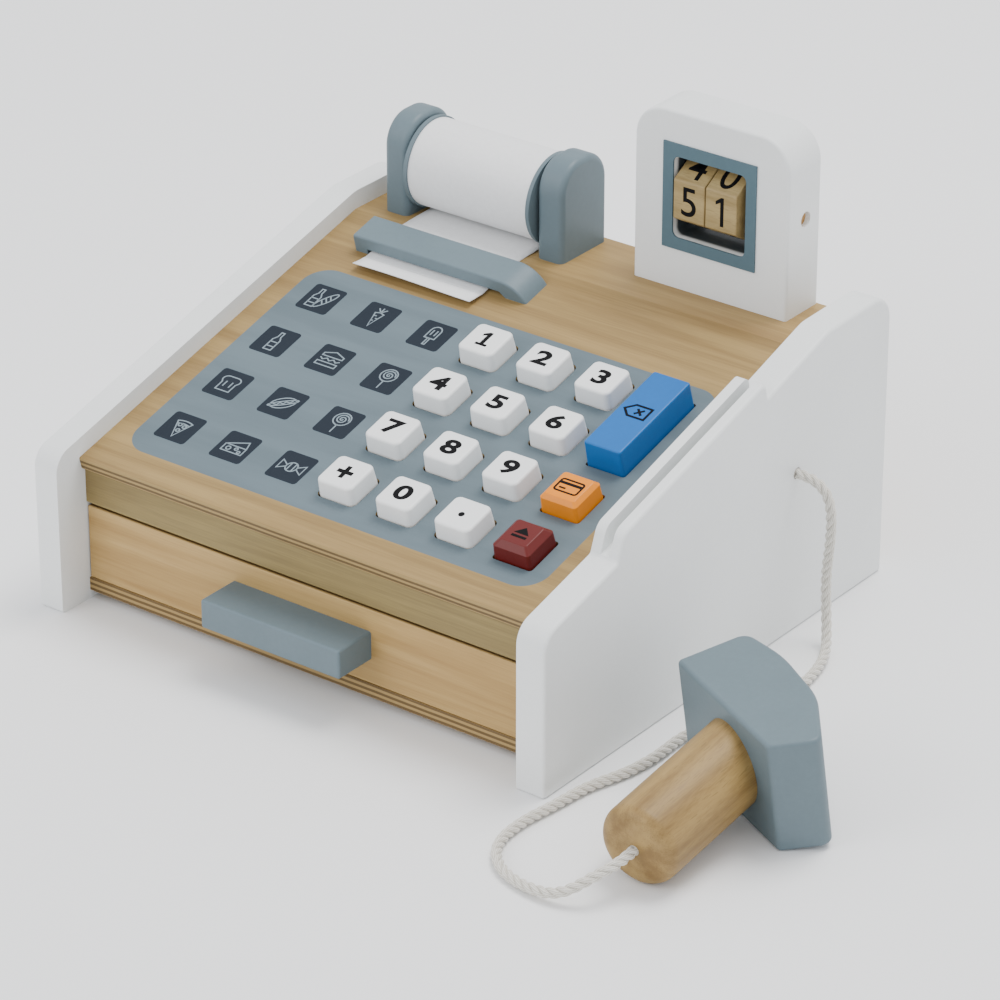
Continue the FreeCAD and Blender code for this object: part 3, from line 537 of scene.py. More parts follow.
DECK_LIGHT, DECK_DARK = paint(162, 135, 85), paint(128, 102, 60)
deck_board = plywood("plywood_deck_with_print", deck_out, LENGTHWISE, DECK_LIGHT, DECK_DARK)
half_wide = (FIELD_RIGHT - FIELD_LEFT) / 2 - FIELD_CORNER
half_high = (FIELD_HIGH - FIELD_LOW) / 2 - FIELD_CORNER
from_x = (deck_board.along(across) - (FIELD_LEFT + FIELD_RIGHT) / 2).size() - half_wide
from_up = (deck_board.along(deck_up) - (FIELD_LOW + FIELD_HIGH) / 2).size() - half_high
beyond_x, beyond_up = from_x.larger(0.0), from_up.larger(0.0)
corner_distance = (beyond_x * beyond_x + beyond_up * beyond_up).root()
inside = 1 - corner_distance.rise(FIELD_CORNER - PRINT_BLUR, FIELD_CORNER + PRINT_BLUR)
on_top = (deck_board.along(deck_out) - deck_level).rise(-0.3 * MM, -0.1 * MM)
printed = inside * on_top
ink_tone = deck_board.noise((9.0, 70.0, 70.0), detail=4.0).rise(0.3, 0.7)
ink = deck_board.mix(ink_tone, paint(88, 103, 110), paint(98, 113, 120))
deck_board.feed("Base Color", deck_board.mix(printed, deck_board.colour(), ink))
print("field", round((FIELD_RIGHT - FIELD_LEFT) / MM), "by", round((FIELD_HIGH - FIELD_LOW) / MM), "mm")


# %% [markdown]
# ## Solid wood
# The wheels, the scanner's handle, the pegs and the axles are solid beech. Beech has short dark flecks
# along its grain and ring bands that a turned piece cuts through. The grain has a direction, so each
# kind of piece gets its own: the handle's runs from the head to the cord.

# %% Beech
def beech(name, direction, light=paint(205, 165, 108), dark=paint(158, 116, 68)):
    made = Finish(name, Specular_IOR_Level=0.4)
    line = Vector(direction).normalized()
    length = made.along(line)
    way = made.vector("SCALE", {0: tuple(line), "Scale": length})
    beside = made.vector("SUBTRACT", {0: made.place, 1: way})

    def streaks(across_scale, length_scale, detail):
        wide = made.vector("SCALE", {0: beside, "Scale": across_scale})
        long = made.vector("SCALE", {0: way, "Scale": length_scale})
        spot = made.vector("ADD", {0: wide, 1: long})
        return made.add("ShaderNodeTexNoise", {}, {"Vector": spot, "Scale": 1.0, "Detail": detail})

    bands = streaks(130.0, 9.0, 3.0)
    flecks = streaks(1300.0, 130.0, 2.0)
    wood = made.mix((bands * 0.7 + flecks * 0.3).rise(0.32, 0.68), dark, light)
    made.feed("Base Color", made.mix(flecks.rise(0.58, 0.7) * 0.4, wood, dimmed(dark, 0.55)))
    made.feed("Roughness", flecks * 0.2 + 0.4)
    made.bump(flecks * 0.6 + bands * 0.4, 0.04 * MM)
    return made


cord_end = box_centre("scanner_cord_end")
handle_way = cord_end - box_centre("scanner_handle")
handle_beech = beech("beech_handle", handle_way, paint(162, 133, 80), paint(122, 94, 50))
wheel_beech = beech("beech_wheels", across, paint(172, 150, 102), paint(136, 114, 70))
plain_beech = beech("beech_pegs", across)
print("handle grain runs along", [round(c, 2) for c in handle_way.normalized()])


# %% [markdown]
# ## Paper, cotton, steel and the display's rim
# Paper is matt and slightly uneven. Cotton yarn is fuzzy, so its finish leans on the UV map of the
# strands: a wave that runs aslant along each strand reads as many thin yarns. Steel is the springs and
# screws. The rim round the display is a printed blue-grey.

# %% Small finishes
paper = Finish("paper", Roughness=0.75, Specular_IOR_Level=0.25)
pulp = paper.noise(500.0, detail=4.0)
paper.feed("Base Color", paper.mix(pulp, paint(226, 226, 226), paint(238, 238, 238)))
paper.bump(pulp, 0.02 * MM)

cotton = Finish("cotton_yarn", Roughness=0.85, Specular_IOR_Level=0.2, Sheen_Weight=0.3)
yarn_place = cotton.add("ShaderNodeTexCoord", out="UV")
yarn_turn = cotton.add("ShaderNodeMapping", {}, {"Vector": yarn_place, "Scale": (1.2, 5.0, 1.0)})
yarns = cotton.add(
    "ShaderNodeTexWave",
    {"bands_direction": "DIAGONAL"},
    {"Vector": yarn_turn, "Scale": 1.0, "Distortion": 2.5, "Detail": 2.0, "Detail Scale": 2.0},
)
fuzz = cotton.noise(1800.0, detail=3.0)
cotton_shade = yarns * 0.5 + fuzz * 0.5
YARN_SHADOW, YARN_LIGHT = paint(196, 190, 178), paint(234, 231, 222)
cotton.feed("Base Color", cotton.mix(cotton_shade.rise(0.2, 0.8), YARN_SHADOW, YARN_LIGHT))
cotton.bump(cotton_shade, 0.15 * MM)

steel = Finish("zinc_plated_steel", Metallic=1.0)
steel.feed("Base Color", steel.mix(steel.noise(300.0), paint(150, 152, 156), paint(196, 198, 202)))
steel.feed("Roughness", steel.noise(700.0) * 0.2 + 0.3)

rim_print = lacquer("display_rim_print", paint(78, 102, 112), gloss=0.5)
dark_print = lacquer("icon_print", paint(34, 41, 50), gloss=0.6, shine=0.12)
pale_print = lacquer("icon_line_print", paint(128, 142, 150), gloss=0.6, shine=0.2)
black_print = lacquer("digit_print", paint(12, 12, 14), gloss=0.6, shine=0.1)
print("paper, cotton, steel and four prints")


# %% [markdown]
# ## The display block
# The block is white outside. Inside its window the wheels throw everything into shade, so only the
# first couple of millimetres of the window read as white. The finish paints that shade into the colour:
# the walls of the window turn dark grey with depth.

# %% Display block finish
# white lacquer outside, with painted shade on the walls inside the window
display_lacquer_and_painted_shade = lacquer("display_lacquer_and_painted_shade", WHITE, gloss=0.42, drift=0.02)
window_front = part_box("display_block")[0][1]
rim_middle = box_centre("display_bezel")
WINDOW_HALF, WALL_SLACK = 18.6 * MM, 0.3 * MM
beside_window = (display_lacquer_and_painted_shade.along(across) - rim_middle.x).size()
above_window = (display_lacquer_and_painted_shade.along(up_z) - rim_middle.z).size()
within_x, within_z = (
    1 - distance.rise(WINDOW_HALF + WALL_SLACK, WINDOW_HALF + 2 * WALL_SLACK)
    for distance in (beside_window, above_window)
)
depth = display_lacquer_and_painted_shade.along(back_y) - window_front
LIP_LIGHT, LIP_DARK = 1.6 * MM, 4.0 * MM
# painted shade: the window walls darken from LIP_LIGHT to LIP_DARK deep
deep = depth.rise(LIP_LIGHT, LIP_DARK) * within_x * within_z
window_colour_with_painted_shade = display_lacquer_and_painted_shade.mix(deep, display_lacquer_and_painted_shade.colour(), paint(52, 60, 64))
display_lacquer_and_painted_shade.feed("Base Color", window_colour_with_painted_shade)
print("window darkens from", LIP_LIGHT / MM, "to", LIP_DARK / MM, "mm deep")


# %% [markdown]
# ## Giving every piece of the frame its finish
# Each wooden piece keeps its mesh from the frame and only gets a material. A table from finish to
# pieces is easy to check, and the script stops if a piece is missing from it.

# %% Finishes of the frame
FINISHES = [
    (white_lacquer, ["left_side_panel", "right_side_panel"]),
    (display_lacquer_and_painted_shade, ["display_block"]),
    (flat_board, ["base_board", "top_shelf", "key_bed", "drawer_bottom"]),
    (upright_board, ["drawer_front", "back_panel", "drawer_back"]),
    (rail_board, ["front_rail"]),
    (side_board, ["drawer_side_left", "drawer_side_right", "divider_left", "divider_right"]),
    (deck_board, ["key_deck"]),
    (handle_beech, ["scanner_handle", "scanner_dowel"]),
    (wheel_beech, ["tens_wheel", "units_wheel", "wheel_washers"]),
    (plain_beech, ["roll_axle", "display_axle", "case_dowels", "support_dowels", "display_dowels"]),
    (plain_beech, ["drawer_stop", "key_bed_battens"]),
    (grey_lacquer, ["receipt_bridge", "left_roll_support", "right_roll_support", "roll_core"]),
    (grey_lacquer, ["drawer_handle", "scanner_head"]),
    (rim_print, ["display_bezel"]),
    (paper, ["paper_roll", "receipt_strip"]),
    (cotton, ["cord", "cord_anchor", "scanner_cord_end"]),
    (steel, ["key_springs", "handle_screws"]),
    (blue_lacquer, ["key_clear"]),
    (orange_lacquer, ["key_card"]),
    (red_lacquer, ["key_open"]),
    (key_lacquer, ["key_plus", "key_point"] + ["key_%d" % digit for digit in range(10)]),
]


def cover(piece, finish):
    """The piece wears this finish and no other."""
    piece.data.materials.clear()
    piece.data.materials.append(finish.material)


finished = set()
for finish, names in FINISHES:
    for name in names:
        cover(frame["nodes"][name], finish)
        finished.add(name)
left_bare = sorted(set(frame["nodes"]) - finished)
if left_bare:
    raise SystemExit("no finish for %s" % left_bare)
cover(rope, cotton)
print(len(finished), "pieces finished")


# %% [markdown]
# ## Springs under the keys
# Each key stands on a small steel coil, and the long key on two. A coil is a tube along a helix whose
# first and last turn lie flat, as on a spring that is ground at its ends. Each coil is put on the case.
# When its key is pressed the coil would keep just the height that the pressed key leaves; that share is
# worked out and printed, but the coil itself is not squashed.

# %% Springs
WIRE_RADIUS, COIL_RADIUS, COIL_TURNS, FLAT_TURNS = 0.42 * MM, 3.6 * MM, 4.5, 0.75
COIL_STEPS, WIRE_SIDES = 110, 8
LONG_KEY_STEP = 12.0 * MM
KEY_TRAVEL = next(j for j in frame["joints"] if j["name"] == "key_clear_press")["range_m"][1]
seat, spring_top = extent("key_springs", deck_out)
spring_tall = spring_top - seat
pressed_share = (spring_tall - KEY_TRAVEL) / spring_tall


def coil_line(middle_of_coil):
    """Helix that stands on its seat, flat at both ends."""
    line = []
    for k in range(COIL_STEPS + 1):
        turn = COIL_TURNS * k / COIL_STEPS
        climb = min(1.0, max(0.0, (turn - FLAT_TURNS) / (COIL_TURNS - 2 * FLAT_TURNS)))
        lift = WIRE_RADIUS + (spring_tall - 2 * WIRE_RADIUS) * climb
        angle = 2 * math.pi * turn
        reach = across * math.cos(angle) + deck_up * math.sin(angle)
        line.append(middle_of_coil + reach * COIL_RADIUS + deck_out * lift)
    return line


def add_spring(name, key, step):
    spot = across * centre(key, across) + deck_up * (centre(key, deck_up) + step) + deck_out * seat
    mesh = bmesh.new()
    add_tube(mesh, coil_line(spot), WIRE_RADIUS, WIRE_SIDES, mesh.loops.layers.uv.new("wire"))
    spring = finish_mesh(name, mesh)
    cover(spring, steel)
    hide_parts("key_springs")
    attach(spring, "case")
    key + "_press"
    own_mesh(spring)


key_joints = [joint["name"] for joint in frame["joints"] if joint["name"].endswith("_press")]
for key in [name.removesuffix("_press") for name in key_joints]:
    if key == "key_clear":
        add_spring("spring_clear_front", key, -LONG_KEY_STEP)
        add_spring("spring_clear_back", key, LONG_KEY_STEP)
    else:
        add_spring("spring_" + key.removeprefix("key_"), key, 0.0)
print("springs", round(spring_tall / MM, 1), "mm tall keep", round(pressed_share, 2), "when pressed")


# %% [markdown]
# ## The strip of receipt paper
# Paper from the roll runs down to the shelf, under the bridge and out over the deck, where its cut end
# lifts a little. Paper is a thin sheet that bends one way only, so its path is drawn once from the side
# as a smooth line through a few places, and then carried across the width. It has a real thickness and
# closed edges.

# %% Receipt strip
PAPER_T = 0.3 * MM
PAPER_LIFT = 0.9 * MM
strip_low, strip_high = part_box("receipt_strip")
roll_middle = box_centre("paper_roll")
shelf_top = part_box("top_shelf")[1][2]
bridge_front, bridge_back = extent("receipt_bridge", deck_up)


def slope_point(up, out):
    """Place in the side view, y and z, for a distance up the slope and out of the deck."""
    place = deck_up * up + deck_out * (deck_level + out)
    return Vector((place.y, place.z))


kink = Vector((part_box("top_shelf")[0][1], shelf_top))
strip_way = [
    Vector((roll_middle.y - 1 * MM, shelf_top + 1.2 * MM)),
    Vector((kink.y + 5 * MM, shelf_top + 1.0 * MM)),
    Vector((kink.y, shelf_top + PAPER_LIFT)),
    slope_point(bridge_back + 3 * MM, PAPER_LIFT),
    slope_point(bridge_front - 1 * MM, PAPER_LIFT),
    slope_point(bridge_front - 4 * MM, 1.3 * MM),
    slope_point(bridge_front - 8 * MM, 2.2 * MM),
    slope_point(bridge_front - 11.8 * MM, 3.4 * MM),
]


def smooth_way(points, steps):
    """Catmull-Rom line through points: smooth, and it passes through each of them."""
    made = []
    for i in range(len(points) - 1):
        p0, p1 = points[max(i - 1, 0)], points[i]
        p2, p3 = points[i + 1], points[min(i + 2, len(points) - 1)]
        for k in range(steps):
            t = k / steps
            slope = (p2 - p0) * t
            curve = (p0 * 2 - p1 * 5 + p2 * 4 - p3) * t * t
            twist = (p1 * 3 - p0 - p2 * 3 + p3) * t ** 3
            made.append(p1 + (slope + curve + twist) * 0.5)
    return made + [points[-1]]


ACROSS_STEPS = 16
LOOSE_SHARE = 0.2
CURL = 0.35 * MM
strip_line = smooth_way(strip_way, 6)
strip_mesh = bmesh.new()
upper, lower = [], []
for i, spot in enumerate(strip_line):
    ahead, behind = strip_line[min(i + 1, len(strip_line) - 1)], strip_line[max(i - 1, 0)]
    run = (ahead - behind).normalized()
    lift = Vector((run.y, -run.x)) * PAPER_T
    loose = max(0.0, i / (len(strip_line) - 1) - (1 - LOOSE_SHARE)) / LOOSE_SHARE
    rows = ([], [])
    for k in range(ACROSS_STEPS + 1):
        share = k / ACROSS_STEPS
        x = strip_low[0] + (strip_high[0] - strip_low[0]) * share
        wave = math.sin(share * math.pi * 1.3 + 0.4) * CURL * loose
        rows[0].append(strip_mesh.verts.new((x, spot.x + lift.x, spot.y + lift.y + wave)))
        rows[1].append(strip_mesh.verts.new((x, spot.x, spot.y + wave)))
    upper.append(rows[0])
    lower.append(rows[1])
for i in range(len(strip_line) - 1):
    for k in range(ACROSS_STEPS):
        for sheet in (upper, lower):
            here, there = sheet[i], sheet[i + 1]
            face = strip_mesh.faces.new((here[k], here[k + 1], there[k + 1], there[k]))
            face.smooth = True
    for k in (0, ACROSS_STEPS):
        strip_mesh.faces.new((upper[i][k], upper[i + 1][k], lower[i + 1][k], lower[i][k]))
for i in (0, len(strip_line) - 1):
    for k in range(ACROSS_STEPS):
        strip_mesh.faces.new((upper[i][k], upper[i][k + 1], lower[i][k + 1], lower[i][k]))
strip = finish_mesh("receipt_paper", strip_mesh)
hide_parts("receipt_strip")
cover(strip, paper)
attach(strip, "case")
print("strip", round((strip_high[0] - strip_low[0]) / MM, 1), "mm wide,", len(strip_line), "steps long")


# %% [markdown]
# ## Printed signs as very thin solids
# A printed sign is ink, a few hundredths of a millimetre thick. Made as a very thin closed solid on the
# surface it keeps a crisp edge at any distance, needs no picture file, and moves with its key. Two
# helpers draw in millimetres on a flat sheet: one makes a filled shape, the other a line of even width
# with square joints.

# %% Drawing helpers
INK = 0.06 * MM


def add_plate(mesh, outline, bottom=0.0, top=INK):
    """Thin solid with an outline in millimetres."""
    levels = [[mesh.verts.new((x * MM, y * MM, z)) for x, y in outline] for z in (bottom, top)]
    mesh.faces.new(list(reversed(levels[0])))
    mesh.faces.new(levels[1])
    count = len(outline)
    for i in range(count):
        n = (i + 1) % count
        mesh.faces.new((levels[0][i], levels[0][n], levels[1][n], levels[1][i]))


def add_line(mesh, points, width, closed=False, bottom=INK, top=2 * INK):
    """Thin solid line of even width through points in millimetres."""
    count = len(points)
    corners = []
    for i, (x, y) in enumerate(points):
        before = points[i - 1] if i or closed else points[i]
        after = points[(i + 1) % count] if i < count - 1 or closed else points[i]
        run_in = Vector((x - before[0], y - before[1]))
        run_out = Vector((after[0] - x, after[1] - y))
        run_in = run_in if run_in.length else run_out
        run_out = run_out if run_out.length else run_in
        run = run_in.normalized() + run_out.normalized()
        run = run.normalized() if run.length > 0.1 else run_out.normalized()
        widen = 1 / max(0.6, abs(run.dot(run_out.normalized())))
        side = Vector((-run.y, run.x)) * width / 2 * widen
        places = ((x - side.x, y - side.y), (x + side.x, y + side.y))
        corners.append([mesh.verts.new((a * MM, b * MM, z)) for z in (bottom, top) for a, b in places])
    spans = count if closed else count - 1
    for i in range(spans):
        a, b = corners[i], corners[(i + 1) % count]
        for p, q in ((0, 1), (1, 3), (3, 2), (2, 0)):
            mesh.faces.new((a[p], a[q], b[q], b[p]))
    if not closed:
        for end in (corners[0], corners[-1]):
            mesh.faces.new((end[0], end[1], end[3], end[2]))


def arc(x, y, wide, high, start=0, end=360, steps=18):
    """Points on an oval; a whole turn leaves out its last point, so that a line can close on itself."""
    whole = abs(end - start) >= 360
    count = steps if whole else steps + 1
    angles = [math.radians(start + (end - start) * k / steps) for k in range(count)]
    return [(x + wide * math.cos(a), y + high * math.sin(a)) for a in angles]


def round_square(wide, high, corner):
    """Outline of a rectangle with round corners about its middle."""
    outline = []
    for sx, sy, start in ((1, 1, 0), (-1, 1, 90), (-1, -1, 180), (1, -1, 270)):
        x, y = sx * (wide / 2 - corner), sy * (high / 2 - corner)
        outline += arc(x, y, corner, corner, start, start + 90, 5)
    return outline


def turned(points, degrees):
    c, s = math.cos(math.radians(degrees)), math.sin(math.radians(degrees))
    return [(x * c - y * s, x * s + y * c) for x, y in points]


def moved(points, right, up):
    return [(x + right, y + up) for x, y in points]


print("plates, lines, arcs and round squares can be drawn")


# %% [markdown]
# ## Twelve pictures of food
# To the left of the keys the deck shows twelve dark squares with simple line pictures of things that a
# shop sells. They stand on the same grid as the keys, so their places follow from it. Each picture is a
# short list of lines, drawn in millimetres about the middle of its square.

# %% Pictures
def drawn_bottle(x=0.0):
    left_side = [(-2.0, -6), (-2.0, 1), (-0.8, 3), (-0.8, 6)]
    right_side = [(-a, b) for a, b in reversed(left_side)]
    body = moved(left_side + right_side, x, 0)
    label = [([(x - 2.0, level), (x + 2.0, level)], False) for level in (-0.6, -3.6)]
    return [(body, True)] + label


def drawn_baguette():
    loaf = turned(arc(0, 0, 6.4, 1.7), 62)
    cuts = [[(-2.6, -1.3), (-1.4, 1.3)], [(-0.4, -1.4), (0.8, 1.4)], [(1.8, -1.3), (3.0, 1.3)]]
    lines = [(loaf, True)] + [(turned(cut, 62), False) for cut in cuts]
    return [(moved(line, 2.6, 0), closed) for line, closed in lines]


def drawn_stick_ice():
    top = [(-2.6, -2)] + arc(0, 3.2, 2.6, 2.8, 180, 0, 8) + [(2.6, -2)]
    stick = [(-0.6, -2), (-0.6, -6.4), (0.6, -6.4), (0.6, -2)]
    grooves = [([(x, 0), (x, 3.6)], False) for x in (-1.0, 1.0)]
    return [(top, True), (stick, False)] + grooves


def drawn_carrot():
    root = [(-2.3, 2.6), (0, 3.3), (2.3, 2.6), (0, -6.5)]
    leaves = [[(0, 3.3), (0, 6.4)], [(0, 3.3), (-2.2, 5.8)], [(0, 3.3), (2.2, 5.8)]]
    marks = [[(-1.7, 0.8), (-0.2, 0.8)], [(1.3, -0.8), (0.1, -0.8)], [(-1.0, -2.4), (0.0, -2.4)]]
    return [(root, True)] + [(line, False) for line in leaves + marks]


def drawn_sandwich():
    filling = [(-5.2, 0.2), (-3.5, -0.9), (-1.7, 0.4), (0, -0.9), (1.7, 0.4), (3.5, -0.9), (5.2, 0.2)]
    top = [(-5.2, 1.6), (-5.2, 3.2), (0, 5.2), (5.2, 3.2), (5.2, 1.6)]
    base = [(-5.2, -2.2), (5.2, -2.2), (5.2, -4.4), (-5.2, -4.4)]
    return [(top, True), (filling, False), (base, True)]


def drawn_lollipop():
    swirl, steps, turns = [], 25, 2.2
    for k in range(steps + 1):
        angle, reach = math.radians(k / steps * turns * 360), 3.2 * (1 - k / steps)
        swirl.append((reach * math.cos(angle), 2.2 + reach * math.sin(angle)))
    return [(arc(0, 2.2, 4.0, 4.0), True), (swirl, False), ([(0, -1.8), (0, -6.8)], False)]


def drawn_bread():
    left_crust = arc(-2.2, 2.6, 2.4, 2.2, 200, 90, 5)
    right_crust = arc(2.2, 2.6, 2.4, 2.2, 90, -20, 5)
    crust = [(-3.6, -4.6), (-3.6, 0.4)] + left_crust + right_crust + [(3.6, 0.4), (3.6, -4.6)]
    return [(crust, True)] + [([(x, -2), (x, 1.6)], False) for x in (-1.6, 1.6)]


def drawn_hot_dog():
    bun, sausage = turned(arc(0, 0, 5.8, 3.2), 35), turned(arc(0, 0, 6.8, 1.2), 35)
    zigzag = [(-4.4, 0.4), (-2.9, -0.5), (-1.4, 0.5), (0, -0.5), (1.4, 0.5), (2.9, -0.5), (4.4, 0.4)]
    mustard = turned(zigzag, 35)
    return [(bun, True), (sausage, True), (mustard, False)]


def drawn_pizza():
    crust = arc(0, -6, 10.4, 10.4, 112, 68, 8)
    toppings = [(arc(x, y, 0.9, 0.9, steps=8), True) for x, y in ((-1.3, 1.6), (1.4, 1.0), (0, -1.8))]
    rim = [(-3.0, 2.4)] + arc(0, -6, 8.6, 8.6, 108, 72, 6) + [(3.0, 2.4)]
    return [(crust + [(0, -6.2)], True), (rim, False)] + toppings


def drawn_cheese():
    front = [(-5.4, -3.6), (5.4, -3.6), (5.4, 0.6), (-5.4, 0.6)]
    top = [(-5.4, 0.6), (4.2, 4.8), (5.4, 0.6)]
    spots = ((-2.6, -1.6, 1.1), (1.2, -0.9, 0.8), (3.3, -2.3, 0.7))
    holes = [(arc(x, y, r, r, steps=9), True) for x, y, r in spots]
    return [(front, True), (top, False)] + holes


def drawn_sweet():
    wings = [[(s * 2.8, 0.6), (s * 6.2, 2.8), (s * 6.2, -2.8), (s * 2.8, -0.6)] for s in (-1, 1)]
    stripes = [[(x, -2.4), (x, 2.4)] for x in (-1.2, 1.2)]
    return [(arc(0, 0, 2.8, 2.8), True)] + [(line, False) for line in wings + stripes]


PICTURES = [
    [drawn_bottle(-2.8) + drawn_baguette(), drawn_carrot(), drawn_stick_ice()],
    [drawn_bottle(), drawn_sandwich(), drawn_lollipop()],
    [drawn_bread(), drawn_hot_dog(), drawn_lollipop()],
    [drawn_pizza(), drawn_cheese(), drawn_sweet()],
]
PLATE_WIDE, PLATE_HIGH, PLATE_CORNER, LINE_WIDE = 16.7, 17.5, 1.6, 0.62
plate_outline = round_square(PLATE_WIDE, PLATE_HIGH, PLATE_CORNER)
plates, lines = bmesh.new(), bmesh.new()
for row, pictures in enumerate(PICTURES):
    for column, picture in enumerate(pictures):
        spot_x = (grid_x + (column - 3) * pitch_x) / MM
        spot_y = (grid_up - row * pitch_up) / MM
        add_plate(plates, moved(plate_outline, spot_x, spot_y))
        for line, closed in picture:
            add_line(lines, moved(line, spot_x, spot_y), LINE_WIDE, closed)
print("twelve squares, every", round(pitch_x / MM, 1), "by", round(pitch_up / MM, 1), "mm")


# %% [markdown]
# The drawings were made on a flat sheet; one matrix lays the whole sheet on the slope.

# %% Laying the pictures on the deck
deck_prints = [("picture_squares", plates, dark_print), ("picture_lines", lines, pale_print)]
for name, mesh, print_finish in deck_prints:
    mesh.transform(on_deck(0, 0, deck_level))
    printed_piece = finish_mesh(name, mesh)
    cover(printed_piece, print_finish)
    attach(printed_piece, "case")
    print(name, len(printed_piece.data.polygons), "faces")


# %% [markdown]
# ## Digits
# Digits are typed with a text object, which is the quickest way to good shapes, and turned into a mesh.
# Pushing the outline outwards makes them bold. The mesh is then scaled to its real height, flattened to
# the thickness of ink and laid on its surface. The one of the built-in font is a bare bar, so it is
# drawn from a listed outline: with a flag and a foot on the key, and with only a flag on a wheel.

# %% Lettering
def lettering(name, text, tall, bold, wide=1.0):
    """Ink-thin mesh of a text, its middle at the origin."""
    curve = bpy.data.curves.new(name, "FONT")
    curve.body, curve.offset, curve.extrude, curve.resolution_u = text, bold, 0.01, 8
    holder = bpy.data.objects.new(name + "_outline", curve)
    data = bpy.data.meshes.new_from_object(holder)
    data.name = name
    xs, ys = [v.co.x for v in data.vertices], [v.co.y for v in data.vertices]
    scale = tall / (max(ys) - min(ys))
    middle_x, middle_y = (max(xs) + min(xs)) / 2, (max(ys) + min(ys)) / 2
    for v in data.vertices:
        level = INK if v.co.z > 0 else 0.0
        v.co = ((v.co.x - middle_x) * scale * wide, (v.co.y - middle_y) * scale, level)
    bpy.data.objects.remove(holder)
    bpy.data.curves.remove(curve)
    return data


def lay_print(name, data, matrix, finish, body):
    """A printed mesh put in its place, on its body."""
    data.transform(matrix)
    made = put_in_scene(name, data)
    cover(made, finish)
    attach(made, body)
    return made


def drawn_one(name, outline):
    """The digit one as an ink-thin plate."""
    mesh = bmesh.new()
    add_plate(mesh, outline)
    data = bpy.data.meshes.new(name)
    mesh.to_mesh(data)
    mesh.free()
    return data


def key_face(key):
    """Matrix of a key's flat top."""
    return on_deck(centre(key, across), centre(key, deck_up), extent(key, deck_out)[1])


DIGIT_TALL, KEY_BOLD, KEY_WIDE = 9.0 * MM, 0.034, 1.36
KEY_ONE = [
    (-2.6, -4.5), (3.2, -4.5), (3.2, -3.1), (1.3, -3.1), (1.3, 4.5), (-0.3, 4.5),
    (-2.6, 2.9), (-2.6, 1.4), (-0.7, 2.4), (-0.7, -3.1), (-2.6, -3.1),
]
for digit in range(10):
    name, key = "digit_%d" % digit, "key_%d" % digit
    if digit == 1:
        shape = drawn_one(name, KEY_ONE)
    else:
        shape = lettering(name, str(digit), DIGIT_TALL, KEY_BOLD, KEY_WIDE)
    lay_print(name, shape, key_face(key), black_print, key)
print("ten digits,", DIGIT_TALL / MM, "mm tall")


# %% [markdown]
# ## Signs on the other keys
# The plus and the point are simple shapes. The coloured keys carry plain signs instead of words: an
# arrow that wipes the last entry, a play card, and the raised triangle over a bar that opens a drawer.

# %% Key signs
def key_sign(key, name, build):
    mesh = bmesh.new()
    build(mesh)
    mesh.transform(key_face(key))
    sign = finish_mesh(name, mesh)
    cover(sign, black_print)
    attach(sign, key)
    print(name, "on", key)


def plus_sign(mesh):
    reach, half = 3.9, 1.05
    arm = [(half, half), (half, reach), (-half, reach)]
    cross = [corner for quarter in range(4) for corner in turned(arm, 90 * quarter)]
    add_plate(mesh, cross)


def point_sign(mesh):
    add_plate(mesh, arc(0, -0.6, 1.4, 1.4, steps=20))


def wipe_sign(mesh):
    add_line(mesh, [(-6.2, 0), (-2.6, 3.6), (5.4, 3.6), (5.4, -3.6), (-2.6, -3.6)], 1.1, True, 0.0, INK)
    add_line(mesh, [(-0.6, -1.7), (2.8, 1.7)], 1.1, False, 0.0, INK)
    add_line(mesh, [(-0.6, 1.7), (2.8, -1.7)], 1.1, False, 0.0, 0.9 * INK)


def card_sign(mesh):
    add_line(mesh, round_square(11.0, 7.2, 1.2), 0.9, True, 0.0, INK)
    add_plate(mesh, [(-5.3, 0.7), (5.3, 0.7), (5.3, 2.2), (-5.3, 2.2)], 0.0, 0.9 * INK)
    add_plate(mesh, [(-4.0, -2.0), (-0.8, -2.0), (-0.8, -1.1), (-4.0, -1.1)])


def drawer_sign(mesh):
    add_plate(mesh, [(-3.6, -0.6), (3.6, -0.6), (0, 3.4)])
    add_plate(mesh, [(-3.6, -3.0), (3.6, -3.0), (3.6, -1.7), (-3.6, -1.7)])


key_sign("key_plus", "plus_sign", plus_sign)
key_sign("key_point", "point_sign", point_sign)
key_sign("key_clear", "wipe_sign", wipe_sign)
key_sign("key_card", "card_sign", card_sign)
key_sign("key_open", "drawer_sign", drawer_sign)


# %% [markdown]
# ## Digits on the wheels
# Each number wheel has six flat faces, sixty degrees apart, and a digit on each. The faces of one wheel
# are turned copies of each other, so a single rule gives the place and the direction of every digit.

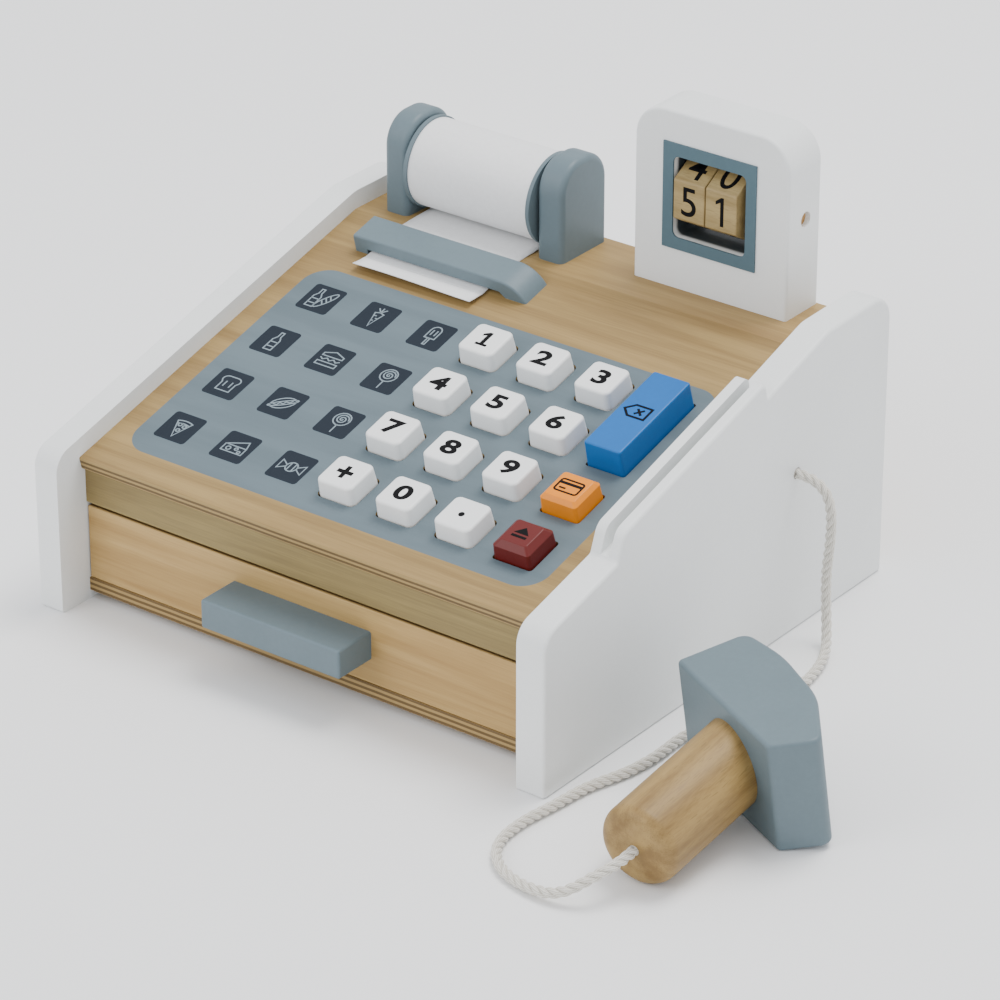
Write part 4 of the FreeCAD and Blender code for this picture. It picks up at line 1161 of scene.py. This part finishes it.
# %% Wheel digits
WHEEL_DIGIT_TALL, WHEEL_BOLD = 13.2 * MM, 0.004
WHEEL_ONE = [(-0.2, -6.6), (1.5, -6.6), (1.5, 6.6), (0.2, 6.6), (-2.6, 4.5), (-2.6, 2.9), (-0.2, 4.3)]
WHEEL_DIGITS = {"tens_wheel": "543210", "units_wheel": "105432"}
for wheel, digits in WHEEL_DIGITS.items():
    hub = box_centre(wheel)
    wheel_low, wheel_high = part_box(wheel)
    flat = (wheel_high[1] - wheel_low[1]) / 2
    for face, digit in enumerate(digits):
        angle = math.radians(60 * face)
        out = Vector((0, -math.cos(angle), math.sin(angle)))
        up = Vector((0, math.sin(angle), math.cos(angle)))
        name = "%s_digit_%s" % (wheel, digit)
        if digit == "1":
            shape = drawn_one(name, WHEEL_ONE)
        else:
            shape = lettering(name, digit, WHEEL_DIGIT_TALL, WHEEL_BOLD)
        lay_print(name, shape, laid_on(across, up, out, hub + out * flat), black_print, wheel)
    print(wheel, "flat faces", round(flat / MM, 2), "mm from the axle")


# %% [markdown]
# ## Floor and studio light
# A pale floor and large soft lights suit small painted things: the edges stay readable and no shadow
# turns black. One big light hangs high above the back of the toy, where its mirror image can't reach
# the camera and veil the print. A weaker one fills from the front left, so that the two side panels
# don't melt into the floor, and the pale world does the rest.

# %% Floor, world and lights
floor_mesh = bpy.data.meshes.new("floor")
floor_mesh.from_pydata([(-8, -8, 0), (8, -8, 0), (8, 8, 0), (-8, 8, 0)], [], [(0, 1, 2, 3)])
floor = put_in_scene("floor", floor_mesh)
floor_finish = Finish("floor_card", Roughness=0.7, Specular_IOR_Level=0.2)
floor_tone = floor_finish.mix(floor_finish.noise(3.0), paint(243, 243, 243), paint(247, 247, 247))
floor_finish.feed("Base Color", floor_tone)
cover(floor, floor_finish)
floor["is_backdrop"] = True
world = bpy.data.worlds.new("studio")
bpy.context.scene.world = world
world.use_nodes = True
world.node_tree.nodes["Background"].inputs["Color"].default_value = (0.94, 0.96, 1.0, 1)
world.node_tree.nodes["Background"].inputs["Strength"].default_value = 1.2


def softbox(name, place, size, power, tint):
    """Square area light that looks at the toy."""
    data = bpy.data.lights.new(name, "AREA")
    data.size, data.energy, data.color = size, power, tint
    lamp = put_in_scene(name, data)
    lamp.location = place
    lamp.rotation_euler = (aim - lamp.location).to_track_quat("-Z", "Y").to_euler()
    print(name, "light", power, "W")


softbox("window", Vector((0.25, 0.7, 2.2)), 1.1, 46, (1.0, 0.99, 0.97))
softbox("front_fill", Vector((-0.9, -1.9, 1.3)), 1.4, 20, (0.98, 0.99, 1.0))


# %% [markdown]
# ## Checking the size
# The boxes round the frame and round the finished toy are measured, and how far the toy grew past the
# frame is printed.

# %% Size of the finished toy
visual_box = [list(corner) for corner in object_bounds()]
growth = [[round((a - b) / MM, 2) for a, b in zip(v, c)] for v, c in zip(visual_box, cad_box)]
print("grew by mm", growth)
